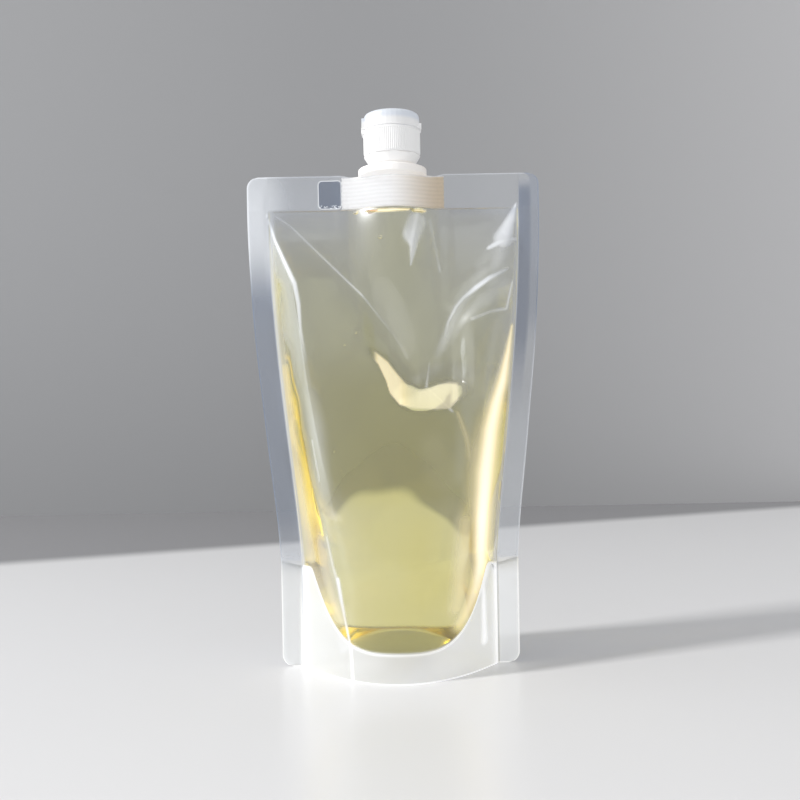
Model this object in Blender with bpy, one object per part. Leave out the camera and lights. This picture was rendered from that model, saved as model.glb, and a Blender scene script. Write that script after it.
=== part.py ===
"""A filled stand-up spout pouch with a flip-top screw cap, standing on its bottom welds.

Units are metres. The origin is the middle of the footprint on the floor, +Z is up,
+X is to the right and the front panel faces -Y.
"""

import math

import bmesh
import bpy

# Film bag
FILM_WIDTH = 0.130
FILM_TOP = 0.2185
FILM_THICKNESS = 0.00015
SIDE_SEAL = 0.0095
TOP_SEAL = 0.015
CORNER_RADIUS = 0.005
BASE_HALF_DEPTH = 0.031
WALL_LEAN_POWER = 1.35

# Clearances of the bag: welded faces, film on the boat, liquid in the film
WELD_GAP = 0.0001
BOAT_GAP = 0.0002
CONTENTS_GAP = 0.0003

# The liquid stops short of the boat, and of the corner where the panels meet
HEADROOM = 0.0025
CONTENTS_INSET = 0.0015

# Bottom gusset: its weld to each panel is level in the middle and rises along two straight flanks
GUSSET_WELD = 0.0127
GUSSET_LEVEL_HALF = 0.0165
GUSSET_FLANK_SLOPE = 1.15
GUSSET_TURN = 0.003
GUSSET_FOLD = 0.047
GUSSET_SAG = 0.005

# The liquid presses each panel out to a ridge along both side seals. A ridge's width is its
# distance from the seal, at the gusset's fold and at the top seal, and its slope is that of
# the strip between seal and ridge.
FRONT_RIDGES = {
    "left": {"low_width": 0.0175, "high_width": 0.0085, "slope": 1.20},
    "right": {"low_width": 0.0225, "high_width": 0.0070, "slope": 0.92},
}
BACK_RIDGES = {
    "left": {"low_width": 0.0210, "high_width": 0.0110, "slope": 0.82},
    "right": {"low_width": 0.0240, "high_width": 0.0090, "slope": 0.85},
}
RIDGE_START = 0.030
RIDGE_END = 0.014

# A ridge stands out at most this many times as far as the middle, and is rounded over this
# share of its height
RIDGE_LIFT = 1.2
RIDGE_ROUND = 0.2

# The V-shaped dent under the spout, where the flat top seal turns into the round base
FRONT_DENT = {"apex_x": 0.015, "apex_z": 0.114, "depth": 0.0032}
BACK_DENT = {"apex_x": -0.010, "apex_z": 0.126, "depth": 0.0024}
DENT_SHOULDER = 0.011
DENT_SPREAD_POWER = 1.3
DENT_FADE = 0.4

# Boat: the ribbed weld base of the spout
BOAT_HALF_LENGTH = 0.0229
BOAT_HALF_THICKNESS = 0.0080
BOAT_TIP = 0.0003
BOAT_RIBS = 6
BOAT_RIB_DEPTH = 0.0003
BOAT_BORE = 0.0060
BOAT_REACH = 0.070
BOAT_TIP_FADE = 0.004

# Spout above the boat: flange, cone, tamper bead and neck
FLANGE_DROP = 0.0010
FLANGE_RADIUS = 0.0152
FLANGE_HEIGHT = 0.0033
CONE_RADIUS = 0.0121
CONE_HEIGHT = 0.0019
NECK_RADIUS = 0.0092
NECK_BORE = 0.0075
BEAD_RADIUS = 0.0100
BEAD_HEIGHT = 0.0015
BEAD_RISE = 0.0035

# Tamper ring, which stays on the neck under the cap
RING_WALL = 0.0008
RING_RISE = 0.0021
RING_HEIGHT = 0.0033
RING_NUBS = 8
RING_NUB_HEIGHT = 0.0003
RING_NUB_FACETS = 6

# Cap base
CAP_RADIUS = 0.0126
CAP_HEIGHT = 0.0110
CAP_RIBS = 96
CAP_RIB_DEPTH = 0.0004
CAP_BAND = 0.0009
THREAD_ROOM = 0.0013
DECK_THICKNESS = 0.0012
SEAL_RING_DEPTH = 0.0018
SEAL_RING_WALL = 0.0012
NOZZLE_RADIUS = 0.0040
NOZZLE_HEIGHT = 0.0027
ORIFICE_RADIUS = 0.0020

# Flip lid
LID_HEIGHT = 0.0074
LID_WALL = 0.0011
LID_EDGE_RADIUS = 0.0018
LID_DOME = 0.0004
LID_DRAFT = 0.0003
PLUG_RADIUS = 0.0016
PLUG_BITE = 0.0012
HINGE_WIDTH = 0.0070
HINGE_PROUD = 0.0007
HINGE_LID_RISE = 0.0049
HINGE_BASE_DROP = 0.0016
THUMB_WIDTH = 0.0080
THUMB_PROUD = 0.0006
THUMB_HEIGHT = 0.0022

# Clearance between two pieces of the closure, and the small roundings of its mouldings
FIT_GAP = 0.0003
EDGE_ROUND = 0.0004

# Facets
BOAT_COLUMNS = 12
LOBE_COLUMNS = 5
SEAL_COLUMNS = 1
BOAT_OUTLINE_STEPS = 18
TURN_STEPS = 36

# Heights that follow from the sizes above
SEAL_EDGE = FILM_TOP - TOP_SEAL
FLANGE_BOTTOM = FILM_TOP - FLANGE_DROP
FLANGE_TOP = FLANGE_BOTTOM + FLANGE_HEIGHT
RING_BOTTOM = FLANGE_TOP + RING_RISE
RING_TOP = RING_BOTTOM + RING_HEIGHT
CAP_BOTTOM = RING_TOP + RING_NUB_HEIGHT + FIT_GAP
DECK_TOP = CAP_BOTTOM + CAP_HEIGHT
DECK_BOTTOM = DECK_TOP - DECK_THICKNESS
NECK_TOP = DECK_BOTTOM - FIT_GAP
NOZZLE_TOP = DECK_TOP + NOZZLE_HEIGHT
LID_BOTTOM = DECK_TOP + FIT_GAP
LID_TOP = LID_BOTTOM + LID_HEIGHT
HINGE_X = -(CAP_RADIUS + HINGE_PROUD)
HINGE_Z = (DECK_TOP + LID_BOTTOM) / 2

# Film between the side seals, and the half gap between the panels in their seals
POCKET_WIDTH = FILM_WIDTH - 2 * SIDE_SEAL
UPPER_HALF_GAP = WELD_GAP / 2
LOWER_HALF_GAP = WELD_GAP / 2 + FILM_THICKNESS + WELD_GAP

# What shapes each panel
FRONT = {"dent": FRONT_DENT, "ridges": FRONT_RIDGES}
BACK = {"dent": BACK_DENT, "ridges": BACK_RIDGES}


def ease(value):
    """Smooth step from 0 to 1."""
    value = min(1.0, max(0.0, value))
    return value * value * (3 - 2 * value)


def clear_scene():
    for item in list(bpy.data.objects):
        bpy.data.objects.remove(item, do_unlink=True)


def make_material(name, color, roughness, alpha=1.0, transmission=0.0):
    material = bpy.data.materials.new(name)
    material.use_nodes = True
    shader = material.node_tree.nodes["Principled BSDF"]
    shader.inputs["Base Color"].default_value = (*color, 1.0)
    shader.inputs["Roughness"].default_value = roughness
    shader.inputs["Metallic"].default_value = 0.0
    shader.inputs["Alpha"].default_value = alpha
    shader.inputs["Transmission Weight"].default_value = transmission
    return material


def make_object(name, bm, material, sharp_degrees=35.0):
    """Closes a bmesh into a named, smooth-shaded object."""
    bmesh.ops.recalc_face_normals(bm, faces=bm.faces)
    mesh = bpy.data.meshes.new(name)
    bm.to_mesh(mesh)
    bm.free()
    mesh.shade_smooth()
    mesh.set_sharp_from_angle(angle=math.radians(sharp_degrees))
    item = bpy.data.objects.new(name, mesh)
    bpy.context.scene.collection.objects.link(item)
    if material:
        mesh.materials.append(material)
    return item


def combine(item, tool, operation):
    """Adds or cuts a hidden helper solid with an exact Boolean."""
    tool.hide_render = True
    tool.display_type = "WIRE"
    modifier = item.modifiers.new(tool.name, "BOOLEAN")
    modifier.operation = operation
    modifier.solver = "EXACT"
    modifier.object = tool


def split_face(bm, a, b, c, d):
    """Two triangles whose shared edge leans to the middle plane, so that parallel skins fold alike."""
    normal = (c.co - a.co).cross(d.co - b.co)
    up = 1 if abs(normal.z) > max(abs(normal.x), abs(normal.y)) else 2
    leans_right = (c.co.x - a.co.x) * (c.co[up] - a.co[up]) > 0
    on_left = a.co.x + c.co.x < 0
    if leans_right == on_left:
        bm.faces.new((a, b, c))
        bm.faces.new((a, c, d))
    else:
        bm.faces.new((a, b, d))
        bm.faces.new((b, c, d))


def grid_faces(bm, rows, closed=False, split=False):
    """Joins rows of vertices into quads, or into pairs of triangles."""
    count = len(rows[0])
    last = count if closed else count - 1
    for lower, upper in zip(rows, rows[1:]):
        for i in range(last):
            j = (i + 1) % count
            if split:
                split_face(bm, lower[i], lower[j], upper[j], upper[i])
            else:
                bm.faces.new((lower[i], lower[j], upper[j], upper[i]))


def sheet(name, outer, inner, material):
    """A film: two grids of points, joined along their rims."""
    bm = bmesh.new()
    skins = [[[bm.verts.new(p) for p in row] for row in side] for side in (outer, inner)]
    for skin in skins:
        grid_faces(bm, skin, split=True)
    rims = [[skin[0] for skin in skins], [skin[-1] for skin in skins]]
    rims += [[[row[end] for row in skin] for skin in skins] for end in (0, -1)]
    for rim in rims:
        grid_faces(bm, rim)
    return make_object(name, bm, material)


def turned(name, profile, material=None, steps=TURN_STEPS):
    """A solid turned about Z from a closed outline of (radius, height) points."""
    bm = bmesh.new()
    verts = [bm.verts.new((radius, 0.0, height)) for radius, height in profile]
    edges = [bm.edges.new((a, b)) for a, b in zip(verts, verts[1:] + verts[:1])]
    bmesh.ops.spin(
        bm, geom=verts + edges, axis=(0, 0, 1), cent=(0, 0, 0), angle=math.tau, steps=steps
    )
    bmesh.ops.remove_doubles(bm, verts=bm.verts, dist=1e-7)
    bmesh.ops.dissolve_degenerate(bm, dist=1e-7, edges=bm.edges)
    return make_object(name, bm, material)


def block(name, low, high, bevel):
    """A box between two corners with its upright edges rounded."""
    bm = bmesh.new()
    bmesh.ops.create_cube(bm, size=1.0)
    for vert in bm.verts:
        for axis in range(3):
            vert.co[axis] = high[axis] if vert.co[axis] > 0 else low[axis]
    edges = [e for e in bm.edges if abs(e.verts[0].co.z - e.verts[1].co.z) > 1e-6]
    bmesh.ops.bevel(bm, geom=edges, offset=bevel, segments=2, affect="EDGES")
    return make_object(name, bm, None)


def arc(centre, radius, start, end, steps):
    """Points of a round stretch of an outline, from one angle to another in degrees."""
    angles = [math.radians(start + (end - start) * i / steps) for i in range(steps + 1)]
    return [(centre[0] + radius * math.cos(a), centre[1] + radius * math.sin(a)) for a in angles]


# The shape of the filled bag


def wedge_share(z):
    """0 up to the gusset's fold, where the walls are upright, then rising to 1 at the top seal."""
    return min(1.0, max(0.0, (z - GUSSET_FOLD) / (SEAL_EDGE - GUSSET_FOLD)))


def bulge(z):
    """Half the depth of the bag in the middle of its width, without the boat."""
    return BASE_HALF_DEPTH * (1 - wedge_share(z) ** WALL_LEAN_POWER)


def parabola_length(base, rise):
    """Length of a parabolic arch over a base."""
    if rise < 1e-6:
        return base
    edge = math.hypot(base, 4 * rise)
    return edge / 2 + base**2 / (8 * rise) * math.asinh(4 * rise / base)


def pocket_half(z):
    """Half the distance between the side seals: the film narrows as it arches, and keeps its width."""
    low, high = POCKET_WIDTH / 4, POCKET_WIDTH
    rise = bulge(z)
    for _ in range(40):
        middle = (low + high) / 2
        if parabola_length(middle, rise) > POCKET_WIDTH:
            high = middle
        else:
            low = middle
    return low / 2


def boat_half(x):
    """Half the thickness of the boat, a lens with drawn-out tips."""
    if abs(x) >= BOAT_HALF_LENGTH:
        return 0.0
    return BOAT_HALF_THICKNESS * math.cos(math.pi * x / (2 * BOAT_HALF_LENGTH)) ** 2


def boat_seat(x):
    """How far the boat pushes a panel out of the seal plane."""
    past_tip = (abs(x) - BOAT_HALF_LENGTH - 0.0005) / BOAT_TIP_FADE
    return (max(boat_half(x), BOAT_TIP) + BOAT_GAP) * (1 - ease(past_tip))


def dent(x, z, shape):
    """Depth of the V-shaped dent at a place of a panel."""
    rise = (z - shape["apex_z"]) / (SEAL_EDGE - shape["apex_z"])
    if not 0 < rise < 1:
        return 0.0
    spread = rise**DENT_SPREAD_POWER
    left = shape["apex_x"] - (POCKET_WIDTH / 2 + shape["apex_x"]) * spread
    right = shape["apex_x"] + (POCKET_WIDTH / 2 - shape["apex_x"]) * spread
    inside = min(x - left, right - x) / DENT_SHOULDER
    return shape["depth"] * ease(inside) * ease((1 - rise) / DENT_FADE)


def soft_min(a, b, rounding):
    """The lower of two heights, rounded where they cross."""
    return (a + b - math.sqrt((a - b) ** 2 + rounding**2)) / 2


def pressed_arch(x, z, ridges):
    """A panel pressed out by the liquid: a steep strip along each seal, then a gentler crown."""
    ridge = ridges["left"] if x < 0 else ridges["right"]
    width = ridge["low_width"] + (ridge["high_width"] - ridge["low_width"]) * wedge_share(z)
    half = pocket_half(z)
    middle = bulge(z)
    height = min(ridge["slope"] * width, RIDGE_LIFT * middle)
    crown = middle + (height - middle) * (x / (half - height / ridge["slope"])) ** 2
    flank = ridge["slope"] * (half - abs(x))
    return max(0.0, soft_min(crown, flank, RIDGE_ROUND * height))


def arch(x, z, panel):
    """How far a panel stands out of the seal plane at a place between the side seals."""
    share = min(1.0, abs(x) / pocket_half(z))
    power = 2 + 1.2 * wedge_share(z) ** 2
    near_boat = ease((z - SEAL_EDGE + BOAT_REACH) / BOAT_REACH)
    pressed = ease((z - GUSSET_FOLD - 0.001) / RIDGE_START) * ease((SEAL_EDGE - z) / RIDGE_END)
    out = bulge(z) * (1 - share**power)
    out += (pressed_arch(x, z, panel["ridges"]) - out) * pressed
    out += boat_seat(x) * near_boat * (1 - share**8)
    return max(0.0, out - dent(x, z, panel["dent"]) * (1 - share**8))


def seal_half_gap(z):
    """Half the gap between the panels in their seals, wider where the gusset lies between them."""
    fade = ease((z - GUSSET_FOLD - 0.001) / 0.005)
    return LOWER_HALF_GAP + (UPPER_HALF_GAP - LOWER_HALF_GAP) * fade


def top_edge(x):
    """Height of the film's top edge, which dips under the spout's flange."""
    dip = FLANGE_DROP + FIT_GAP
    return FILM_TOP - dip * (1 - ease((abs(x) - FLANGE_RADIUS - 0.001) / 0.008))


def corner_cut(z):
    """How far a rounded corner of the film takes its side edge in at a height."""
    into = max(CORNER_RADIUS - z, z - (FILM_TOP - CORNER_RADIUS), 0.0)
    into = min(into, CORNER_RADIUS)
    return CORNER_RADIUS - math.sqrt(CORNER_RADIUS**2 - into**2)


def pocket_columns():
    """Places of the mesh columns across the pocket, -1 to 1, closer together at the boat."""
    boat = BOAT_HALF_LENGTH / (POCKET_WIDTH / 2)
    middle = [boat * (2 * i / BOAT_COLUMNS - 1) for i in range(BOAT_COLUMNS + 1)]
    lobe = [boat + (1 - boat) * i / LOBE_COLUMNS for i in range(1, LOBE_COLUMNS + 1)]
    return [-t for t in reversed(lobe)] + middle + lobe


def film_columns():
    """The pocket's columns with those of the side seals, which run from 1 to 2."""
    seal = [1 + (i + 1) / SEAL_COLUMNS for i in range(SEAL_COLUMNS)]
    return [-t for t in reversed(seal)] + pocket_columns() + seal


def spaced(start, end, count):
    """Even steps from start up to, and without, end."""
    return [start + (end - start) * i / count for i in range(count)]


def film_levels():
    """Heights of the mesh rows up to the inner edge of the top seal."""
    levels = [0.0, CORNER_RADIUS * 0.35]
    levels += spaced(CORNER_RADIUS, GUSSET_FOLD + 0.001, 3)
    levels += spaced(GUSSET_FOLD + 0.001, GUSSET_FOLD + 0.006, 1)
    levels += spaced(GUSSET_FOLD + 0.006, SEAL_EDGE - 0.020, 11)
    levels += spaced(SEAL_EDGE - 0.020, SEAL_EDGE - HEADROOM, 3)
    return levels + [SEAL_EDGE - HEADROOM, SEAL_EDGE]


def film_x(column, z):
    """X of a film column at a height."""
    side = math.copysign(1.0, column)
    share = abs(column)
    if share <= 1:
        return side * share * pocket_half(z)
    return side * (pocket_half(z) + (share - 1) * (SIDE_SEAL - corner_cut(z)))


def panel_row(column_z, face, panel, offset):
    """One row of a panel's points: its height at each column, and the offset from the seal plane."""
    row = []
    for column, z in column_z:
        x = film_x(column, z)
        out = arch(x, min(z, SEAL_EDGE), panel) + seal_half_gap(z) + offset
        row.append((x, face * out, z))
    return row


def panel_film(name, face, panel, material):
    """The front (-1) or back (+1) panel, from the floor to the top edge."""
    columns = film_columns()
    rows = [[(c, z) for c in columns] for z in film_levels()]
    seal_shares = [0.35, 1 - CORNER_RADIUS / TOP_SEAL, 1 - 0.5 * CORNER_RADIUS / TOP_SEAL]
    seal_shares += [1 - 0.12 * CORNER_RADIUS / TOP_SEAL, 1.0]
    for share in seal_shares:
        row = []
        for column in columns:
            top = top_edge(film_x(column, SEAL_EDGE))
            row.append((column, SEAL_EDGE + share * (top - SEAL_EDGE)))
        rows.append(row)
    inner = [panel_row(row, face, panel, 0.0) for row in rows]
    outer = [panel_row(row, face, panel, FILM_THICKNESS) for row in rows]
    return sheet(name, outer, inner, material)


# The bottom gusset


def gusset_join(column):
    """Height at which the gusset leaves the panels: its weld in the pocket, the fold in the seals."""
    share = abs(column)
    past = min(share, 1.0) * pocket_half(GUSSET_FOLD) - GUSSET_LEVEL_HALF
    rise = GUSSET_WELD + GUSSET_FLANK_SLOPE / 2 * (past + math.hypot(past, GUSSET_TURN))
    rise = min(rise, GUSSET_FOLD - 0.002)
    if share <= 1:
        return rise
    return rise + (GUSSET_FOLD - rise) * ease(share - 1)


def gusset_sag(column):
    """How far the gusset hangs below its weld in the middle of the bag's depth."""
    share = min(abs(column), 1.0)
    return GUSSET_SAG * (1 - share**2) * (1 + 3 * share**2)


def gusset_height(column, y, reach):
    """Height of the gusset's upper face between the panels."""
    sag = gusset_sag(column)
    return gusset_join(column) - sag * (1 - min(1.0, abs(y / reach)) ** 2)


def gusset_reach(x, z):
    """Distance of the gusset's welded face from the seal plane, alike at front and back."""
    return arch(x, z, FRONT) + LOWER_HALF_GAP - WELD_GAP


def gusset_path(column, inset, weld_rows=3, middle_rows=8):
    """One column of the gusset, from the front bottom edge up, across and down to the back."""
    join = gusset_join(column)
    join_x = film_x(column, join)
    reach = gusset_reach(join_x, join)
    edge = reach - inset
    top = gusset_height(column, edge, reach) - inset
    rise = []
    for i in range(weld_rows):
        z = top * i / weld_rows
        x = film_x(column, z)
        rise.append((x, gusset_reach(x, z) - inset, z))
    path = [(x, -y, z) for x, y, z in rise]
    for i in range(middle_rows + 1):
        y = edge * (2 * i / middle_rows - 1)
        path.append((join_x, y, gusset_height(column, y, reach) - inset))
    return path + [(x, y, z) for x, y, z in reversed(rise)]


def gusset_film(material):
    """One film, welded to both panels along its flanks and hanging between them."""
    columns = film_columns()
    outer = [gusset_path(column, 0.0) for column in columns]
    inner = [gusset_path(column, FILM_THICKNESS) for column in columns]
    return sheet("bottom_gusset_film", outer, inner, material)


# The liquid


def contents_point(column, z, face, panel):
    """A point of the liquid's wall, a clearance inside the film, and closed at the side seals."""
    x = film_x(column, z)
    if abs(column) == 1:
        return (x - math.copysign(CONTENTS_INSET, column), 0.0, z)
    out = arch(x, z, panel)
    return (x, face * out**2 / (out + CONTENTS_GAP), z)


def contents_column(column, floor_rows=8):
    """The outline of the liquid at one column: down the front, over the gusset, up the back."""
    join = gusset_join(column) + CONTENTS_GAP
    x, y, _ = contents_point(column, join, 1, FRONT)
    reach = gusset_reach(film_x(column, join), join)
    low = gusset_height(column, y, reach) + CONTENTS_GAP
    upright = GUSSET_FOLD + 0.001
    heights = [z for z in film_levels() if upright <= z < SEAL_EDGE][::-1]
    heights += [upright + (low - upright) * share for share in (0.35, 0.7)]
    front = [contents_point(column, z, -1, FRONT) for z in heights]
    back = [contents_point(column, z, 1, BACK) for z in heights]
    floor = []
    for i in range(floor_rows + 1):
        place = y * (2 * i / floor_rows - 1)
        floor.append((x, place, gusset_height(column, place, reach) + CONTENTS_GAP))
    return front + floor + back[::-1]


def liquid(material):
    """The filling, up to the underside of the boat."""
    bm = bmesh.new()
    columns = [contents_column(column) for column in pocket_columns()]
    grid = [[bm.verts.new(p) for p in column] for column in columns]
    grid_faces(bm, grid, closed=True, split=True)
    bmesh.ops.remove_doubles(bm, verts=bm.verts, dist=1e-7)
    bmesh.ops.dissolve_degenerate(bm, dist=1e-7, edges=bm.edges)
    return make_object("contents", bm, material, 60.0)


# The spout


def boat_outline(inset):
    """The outline of the boat, taken in by a rib's depth at its grooves."""
    shrink = (BOAT_HALF_LENGTH - inset) / BOAT_HALF_LENGTH
    front = []
    for i in range(BOAT_OUTLINE_STEPS + 1):
        x = BOAT_HALF_LENGTH * (2 * i / BOAT_OUTLINE_STEPS - 1)
        front.append((x * shrink, max(boat_half(x), BOAT_TIP) - inset * boat_groove(x)))
    return [(x, -y) for x, y in front] + [(x, y) for x, y in reversed(front)]


def boat_groove(x):
    """Share of the grooves' depth at a place, none at the thin tips."""
    return min(1.0, boat_half(x) / (4 * BOAT_RIB_DEPTH))


def boat(material):
    """A loft of outlines with a rib and a groove in turn."""
    height = FLANGE_BOTTOM - SEAL_EDGE
    bm = bmesh.new()
    rows = []
    for i in range(2 * BOAT_RIBS + 1):
        inset = BOAT_RIB_DEPTH if i % 2 else 0.0
        z = SEAL_EDGE + height * i / (2 * BOAT_RIBS)
        rows.append([bm.verts.new((x, y, z)) for x, y in boat_outline(inset)])
    grid_faces(bm, rows, closed=True)
    bm.faces.new(rows[0])
    bm.faces.new(rows[-1])
    return make_object("spout", bm, material)


def spout(material):
    """One moulding: boat, flange, cone, bead and neck, with a stepped bore."""
    body = boat(material)
    bead_top = FLANGE_TOP + BEAD_RISE + BEAD_HEIGHT
    outline = [(0.0, FLANGE_BOTTOM - 0.0010), (CONE_RADIUS * 0.5, FLANGE_BOTTOM - 0.0010)]
    outline += [(CONE_RADIUS * 0.5, FLANGE_BOTTOM), (FLANGE_RADIUS - EDGE_ROUND, FLANGE_BOTTOM)]
    outline += [(FLANGE_RADIUS, FLANGE_BOTTOM + EDGE_ROUND), (FLANGE_RADIUS, FLANGE_TOP - EDGE_ROUND)]
    outline += [(FLANGE_RADIUS - EDGE_ROUND, FLANGE_TOP), (CONE_RADIUS, FLANGE_TOP)]
    outline += [(NECK_RADIUS, FLANGE_TOP + CONE_HEIGHT), (NECK_RADIUS, FLANGE_TOP + BEAD_RISE)]
    outline += [(BEAD_RADIUS, FLANGE_TOP + BEAD_RISE)]
    outline += [(BEAD_RADIUS, FLANGE_TOP + BEAD_RISE + BEAD_HEIGHT * 0.3), (NECK_RADIUS, bead_top)]
    outline += [(NECK_RADIUS, NECK_TOP - EDGE_ROUND), (NECK_RADIUS - EDGE_ROUND, NECK_TOP)]
    outline += [(0.0, NECK_TOP)]
    combine(body, turned("neck_and_flange", outline), "UNION")
    step = FLANGE_BOTTOM + 0.001
    bore = [(0.0, SEAL_EDGE - 0.002), (BOAT_BORE, SEAL_EDGE - 0.002), (BOAT_BORE, step)]
    bore += [(NECK_BORE, step + NECK_BORE - BOAT_BORE), (NECK_BORE, NECK_TOP + 0.002)]
    bore += [(0.0, NECK_TOP + 0.002)]
    combine(body, turned("spout_bore", bore), "DIFFERENCE")
    return body


# The closure


def tamper_ring(material):
    """A conical band round the neck with the stubs of its bridges on top."""
    low_inner = NECK_RADIUS + FIT_GAP + 0.0001
    top_outer = CAP_RADIUS - 0.0001
    corners = [(low_inner, RING_BOTTOM), (low_inner + RING_WALL, RING_BOTTOM)]
    corners += [(top_outer, RING_TOP), (top_outer - RING_WALL - 0.0002, RING_TOP)]
    corners += [(low_inner, RING_BOTTOM + 0.0006)]
    steps = RING_NUBS * RING_NUB_FACETS
    bm = bmesh.new()
    rows = []
    for i in range(steps):
        angle = math.tau * i / steps
        nub = RING_NUB_HEIGHT if i % RING_NUB_FACETS < 2 else 0.0
        row = []
        for radius, height in corners:
            lift = nub if height == RING_TOP else 0.0
            row.append((radius * math.cos(angle), radius * math.sin(angle), height + lift))
        rows.append([bm.verts.new(p) for p in row])
    grid_faces(bm, rows + rows[:1], closed=True)
    return make_object("tamper_ring", bm, material)


def ribbed_wall(material):
    """The solid outside of the cap base: grip ribs between two plain bands."""
    rib_low = CAP_BOTTOM + CAP_BAND
    rib_high = DECK_TOP - CAP_BAND
    plain = CAP_RADIUS - CAP_RIB_DEPTH
    levels = [(CAP_BOTTOM, plain, 0.0), (rib_low, CAP_RADIUS, CAP_RIB_DEPTH)]
    levels += [(rib_high, CAP_RADIUS, CAP_RIB_DEPTH), (rib_high, CAP_RADIUS, 0.0)]
    levels += [(DECK_TOP - 0.0002, CAP_RADIUS, 0.0), (DECK_TOP, CAP_RADIUS - 0.0002, 0.0)]
    bm = bmesh.new()
    rows = []
    for height, radius, groove in levels:
        row = []
        for i in range(2 * CAP_RIBS):
            angle = math.pi * i / CAP_RIBS
            out = radius - groove * (i % 2)
            row.append(bm.verts.new((out * math.cos(angle), out * math.sin(angle), height)))
        rows.append(row)
    grid_faces(bm, rows, closed=True)
    bm.faces.new(rows[0])
    bm.faces.new(rows[-1])
    bmesh.ops.remove_doubles(bm, verts=bm.verts, dist=1e-7)
    return make_object("cap_base", bm, material, 25.0)


def cap_base(material):
    """Screw cap: ribbed skirt, deck, seal ring under it, nozzle over it, hinge block at -X."""
    cap = ribbed_wall(material)
    nozzle = [(0.0, DECK_TOP - 0.0005), (NOZZLE_RADIUS, DECK_TOP - 0.0005)]
    nozzle += [(NOZZLE_RADIUS, DECK_TOP + 0.0005), (NOZZLE_RADIUS - 0.0008, NOZZLE_TOP)]
    nozzle += [(0.0, NOZZLE_TOP)]
    combine(cap, turned("cap_nozzle", nozzle), "UNION")
    low = (HINGE_X, -HINGE_WIDTH / 2, DECK_TOP - HINGE_BASE_DROP)
    high = (-(CAP_RADIUS - 0.0010), HINGE_WIDTH / 2, DECK_TOP)
    combine(cap, block("base_hinge_block", low, high, 0.0003), "UNION")
    bore = NECK_RADIUS + THREAD_ROOM
    ring_outer = NECK_BORE - FIT_GAP
    ring_inner = ring_outer - SEAL_RING_WALL
    ring_low = DECK_BOTTOM - SEAL_RING_DEPTH
    cut = [(0.0, CAP_BOTTOM - 0.002), (bore, CAP_BOTTOM - 0.002), (bore, DECK_BOTTOM)]
    cut += [(ring_outer, DECK_BOTTOM), (ring_outer, ring_low), (ring_inner, ring_low)]
    cut += [(ring_inner, DECK_BOTTOM), (ORIFICE_RADIUS, DECK_BOTTOM)]
    cut += [(ORIFICE_RADIUS, NOZZLE_TOP + 0.002), (0.0, NOZZLE_TOP + 0.002)]
    combine(cap, turned("cap_hollow", cut), "DIFFERENCE")
    return cap


def set_origin(item, x, z):
    """Moves an object's origin onto its joint axis and leaves its shape in place."""
    for vert in item.data.vertices:
        vert.co.x -= x
        vert.co.z -= z
    item.location = (x, 0.0, z)


def flip_lid(material):
    """Hollow lid with a rounded top edge, a plug for the orifice and a thumb lip at +X."""
    top_radius = CAP_RADIUS - LID_DRAFT
    corner = (top_radius - LID_EDGE_RADIUS, LID_TOP - LID_DOME - LID_EDGE_RADIUS)
    outline = [(0.0, LID_BOTTOM), (CAP_RADIUS, LID_BOTTOM)]
    outline += arc(corner, LID_EDGE_RADIUS, 0, 90, 4)
    outline += [(corner[0] * 0.55, LID_TOP - LID_DOME * 0.3), (0.0, LID_TOP)]
    lid = turned("flip_lid", outline, material)
    low = (HINGE_X, -HINGE_WIDTH / 2, LID_BOTTOM)
    high = (-(CAP_RADIUS - 0.0010), HINGE_WIDTH / 2, LID_BOTTOM + HINGE_LID_RISE)
    combine(lid, block("lid_hinge_block", low, high, 0.0003), "UNION")
    low = (CAP_RADIUS - 0.0012, -THUMB_WIDTH / 2, LID_BOTTOM)
    high = (CAP_RADIUS + THUMB_PROUD, THUMB_WIDTH / 2, LID_BOTTOM + THUMB_HEIGHT)
    combine(lid, block("thumb_lip", low, high, 0.0003), "UNION")
    ceiling = LID_TOP - LID_DOME - LID_WALL
    room = CAP_RADIUS - LID_WALL
    plug_tip = NOZZLE_TOP - PLUG_BITE
    hollow = [(0.0, LID_BOTTOM - 0.002), (room, LID_BOTTOM - 0.002)]
    hollow += [(room, ceiling - 0.0010), (room - 0.0012, ceiling)]
    hollow += [(PLUG_RADIUS + 0.0005, ceiling), (PLUG_RADIUS, ceiling - 0.0010)]
    hollow += [(PLUG_RADIUS, plug_tip + 0.0003), (PLUG_RADIUS - 0.0003, plug_tip), (0.0, plug_tip)]
    combine(lid, turned("lid_hollow", hollow), "DIFFERENCE")
    set_origin(lid, HINGE_X, HINGE_Z)
    return lid


def main():
    clear_scene()
    film = make_material("clear_film", (0.86, 0.88, 0.90), 0.12, alpha=0.25)
    wash = make_material("wash", (0.70, 0.66, 0.36), 0.05, alpha=0.6, transmission=0.9)
    moulded = make_material("spout_plastic", (0.90, 0.90, 0.89), 0.35)
    cap_white = make_material("cap_plastic", (0.93, 0.93, 0.93), 0.30)
    lid_clear = make_material("lid_plastic", (0.86, 0.89, 0.92), 0.25, alpha=0.8)
    panel_film("front_film", -1, FRONT, film)
    panel_film("back_film", 1, BACK, film)
    gusset_film(film)
    liquid(wash)
    spout(moulded)
    tamper_ring(cap_white)
    cap_base(cap_white)
    flip_lid(lid_clear)


main()
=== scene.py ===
# %% [markdown]
# # A clear spout pouch, dressed for its picture
#
# The imported solids say where everything is: three films, the wash inside them, the spout,
# the tamper ring, the screw cap and its flip lid. This lesson gives each of them its looks.
# The films and the liquid get finer surfaces, because light bends through them and shows
# every facet. The moulded pieces keep their solids, with a plastic finish that has a faint
# painted glow, screw threads, and rib lines of painted shade.

# %% Load the imported part
import math

import bmesh
import bpy
import numpy as np
from mathutils import Matrix, Vector


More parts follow.
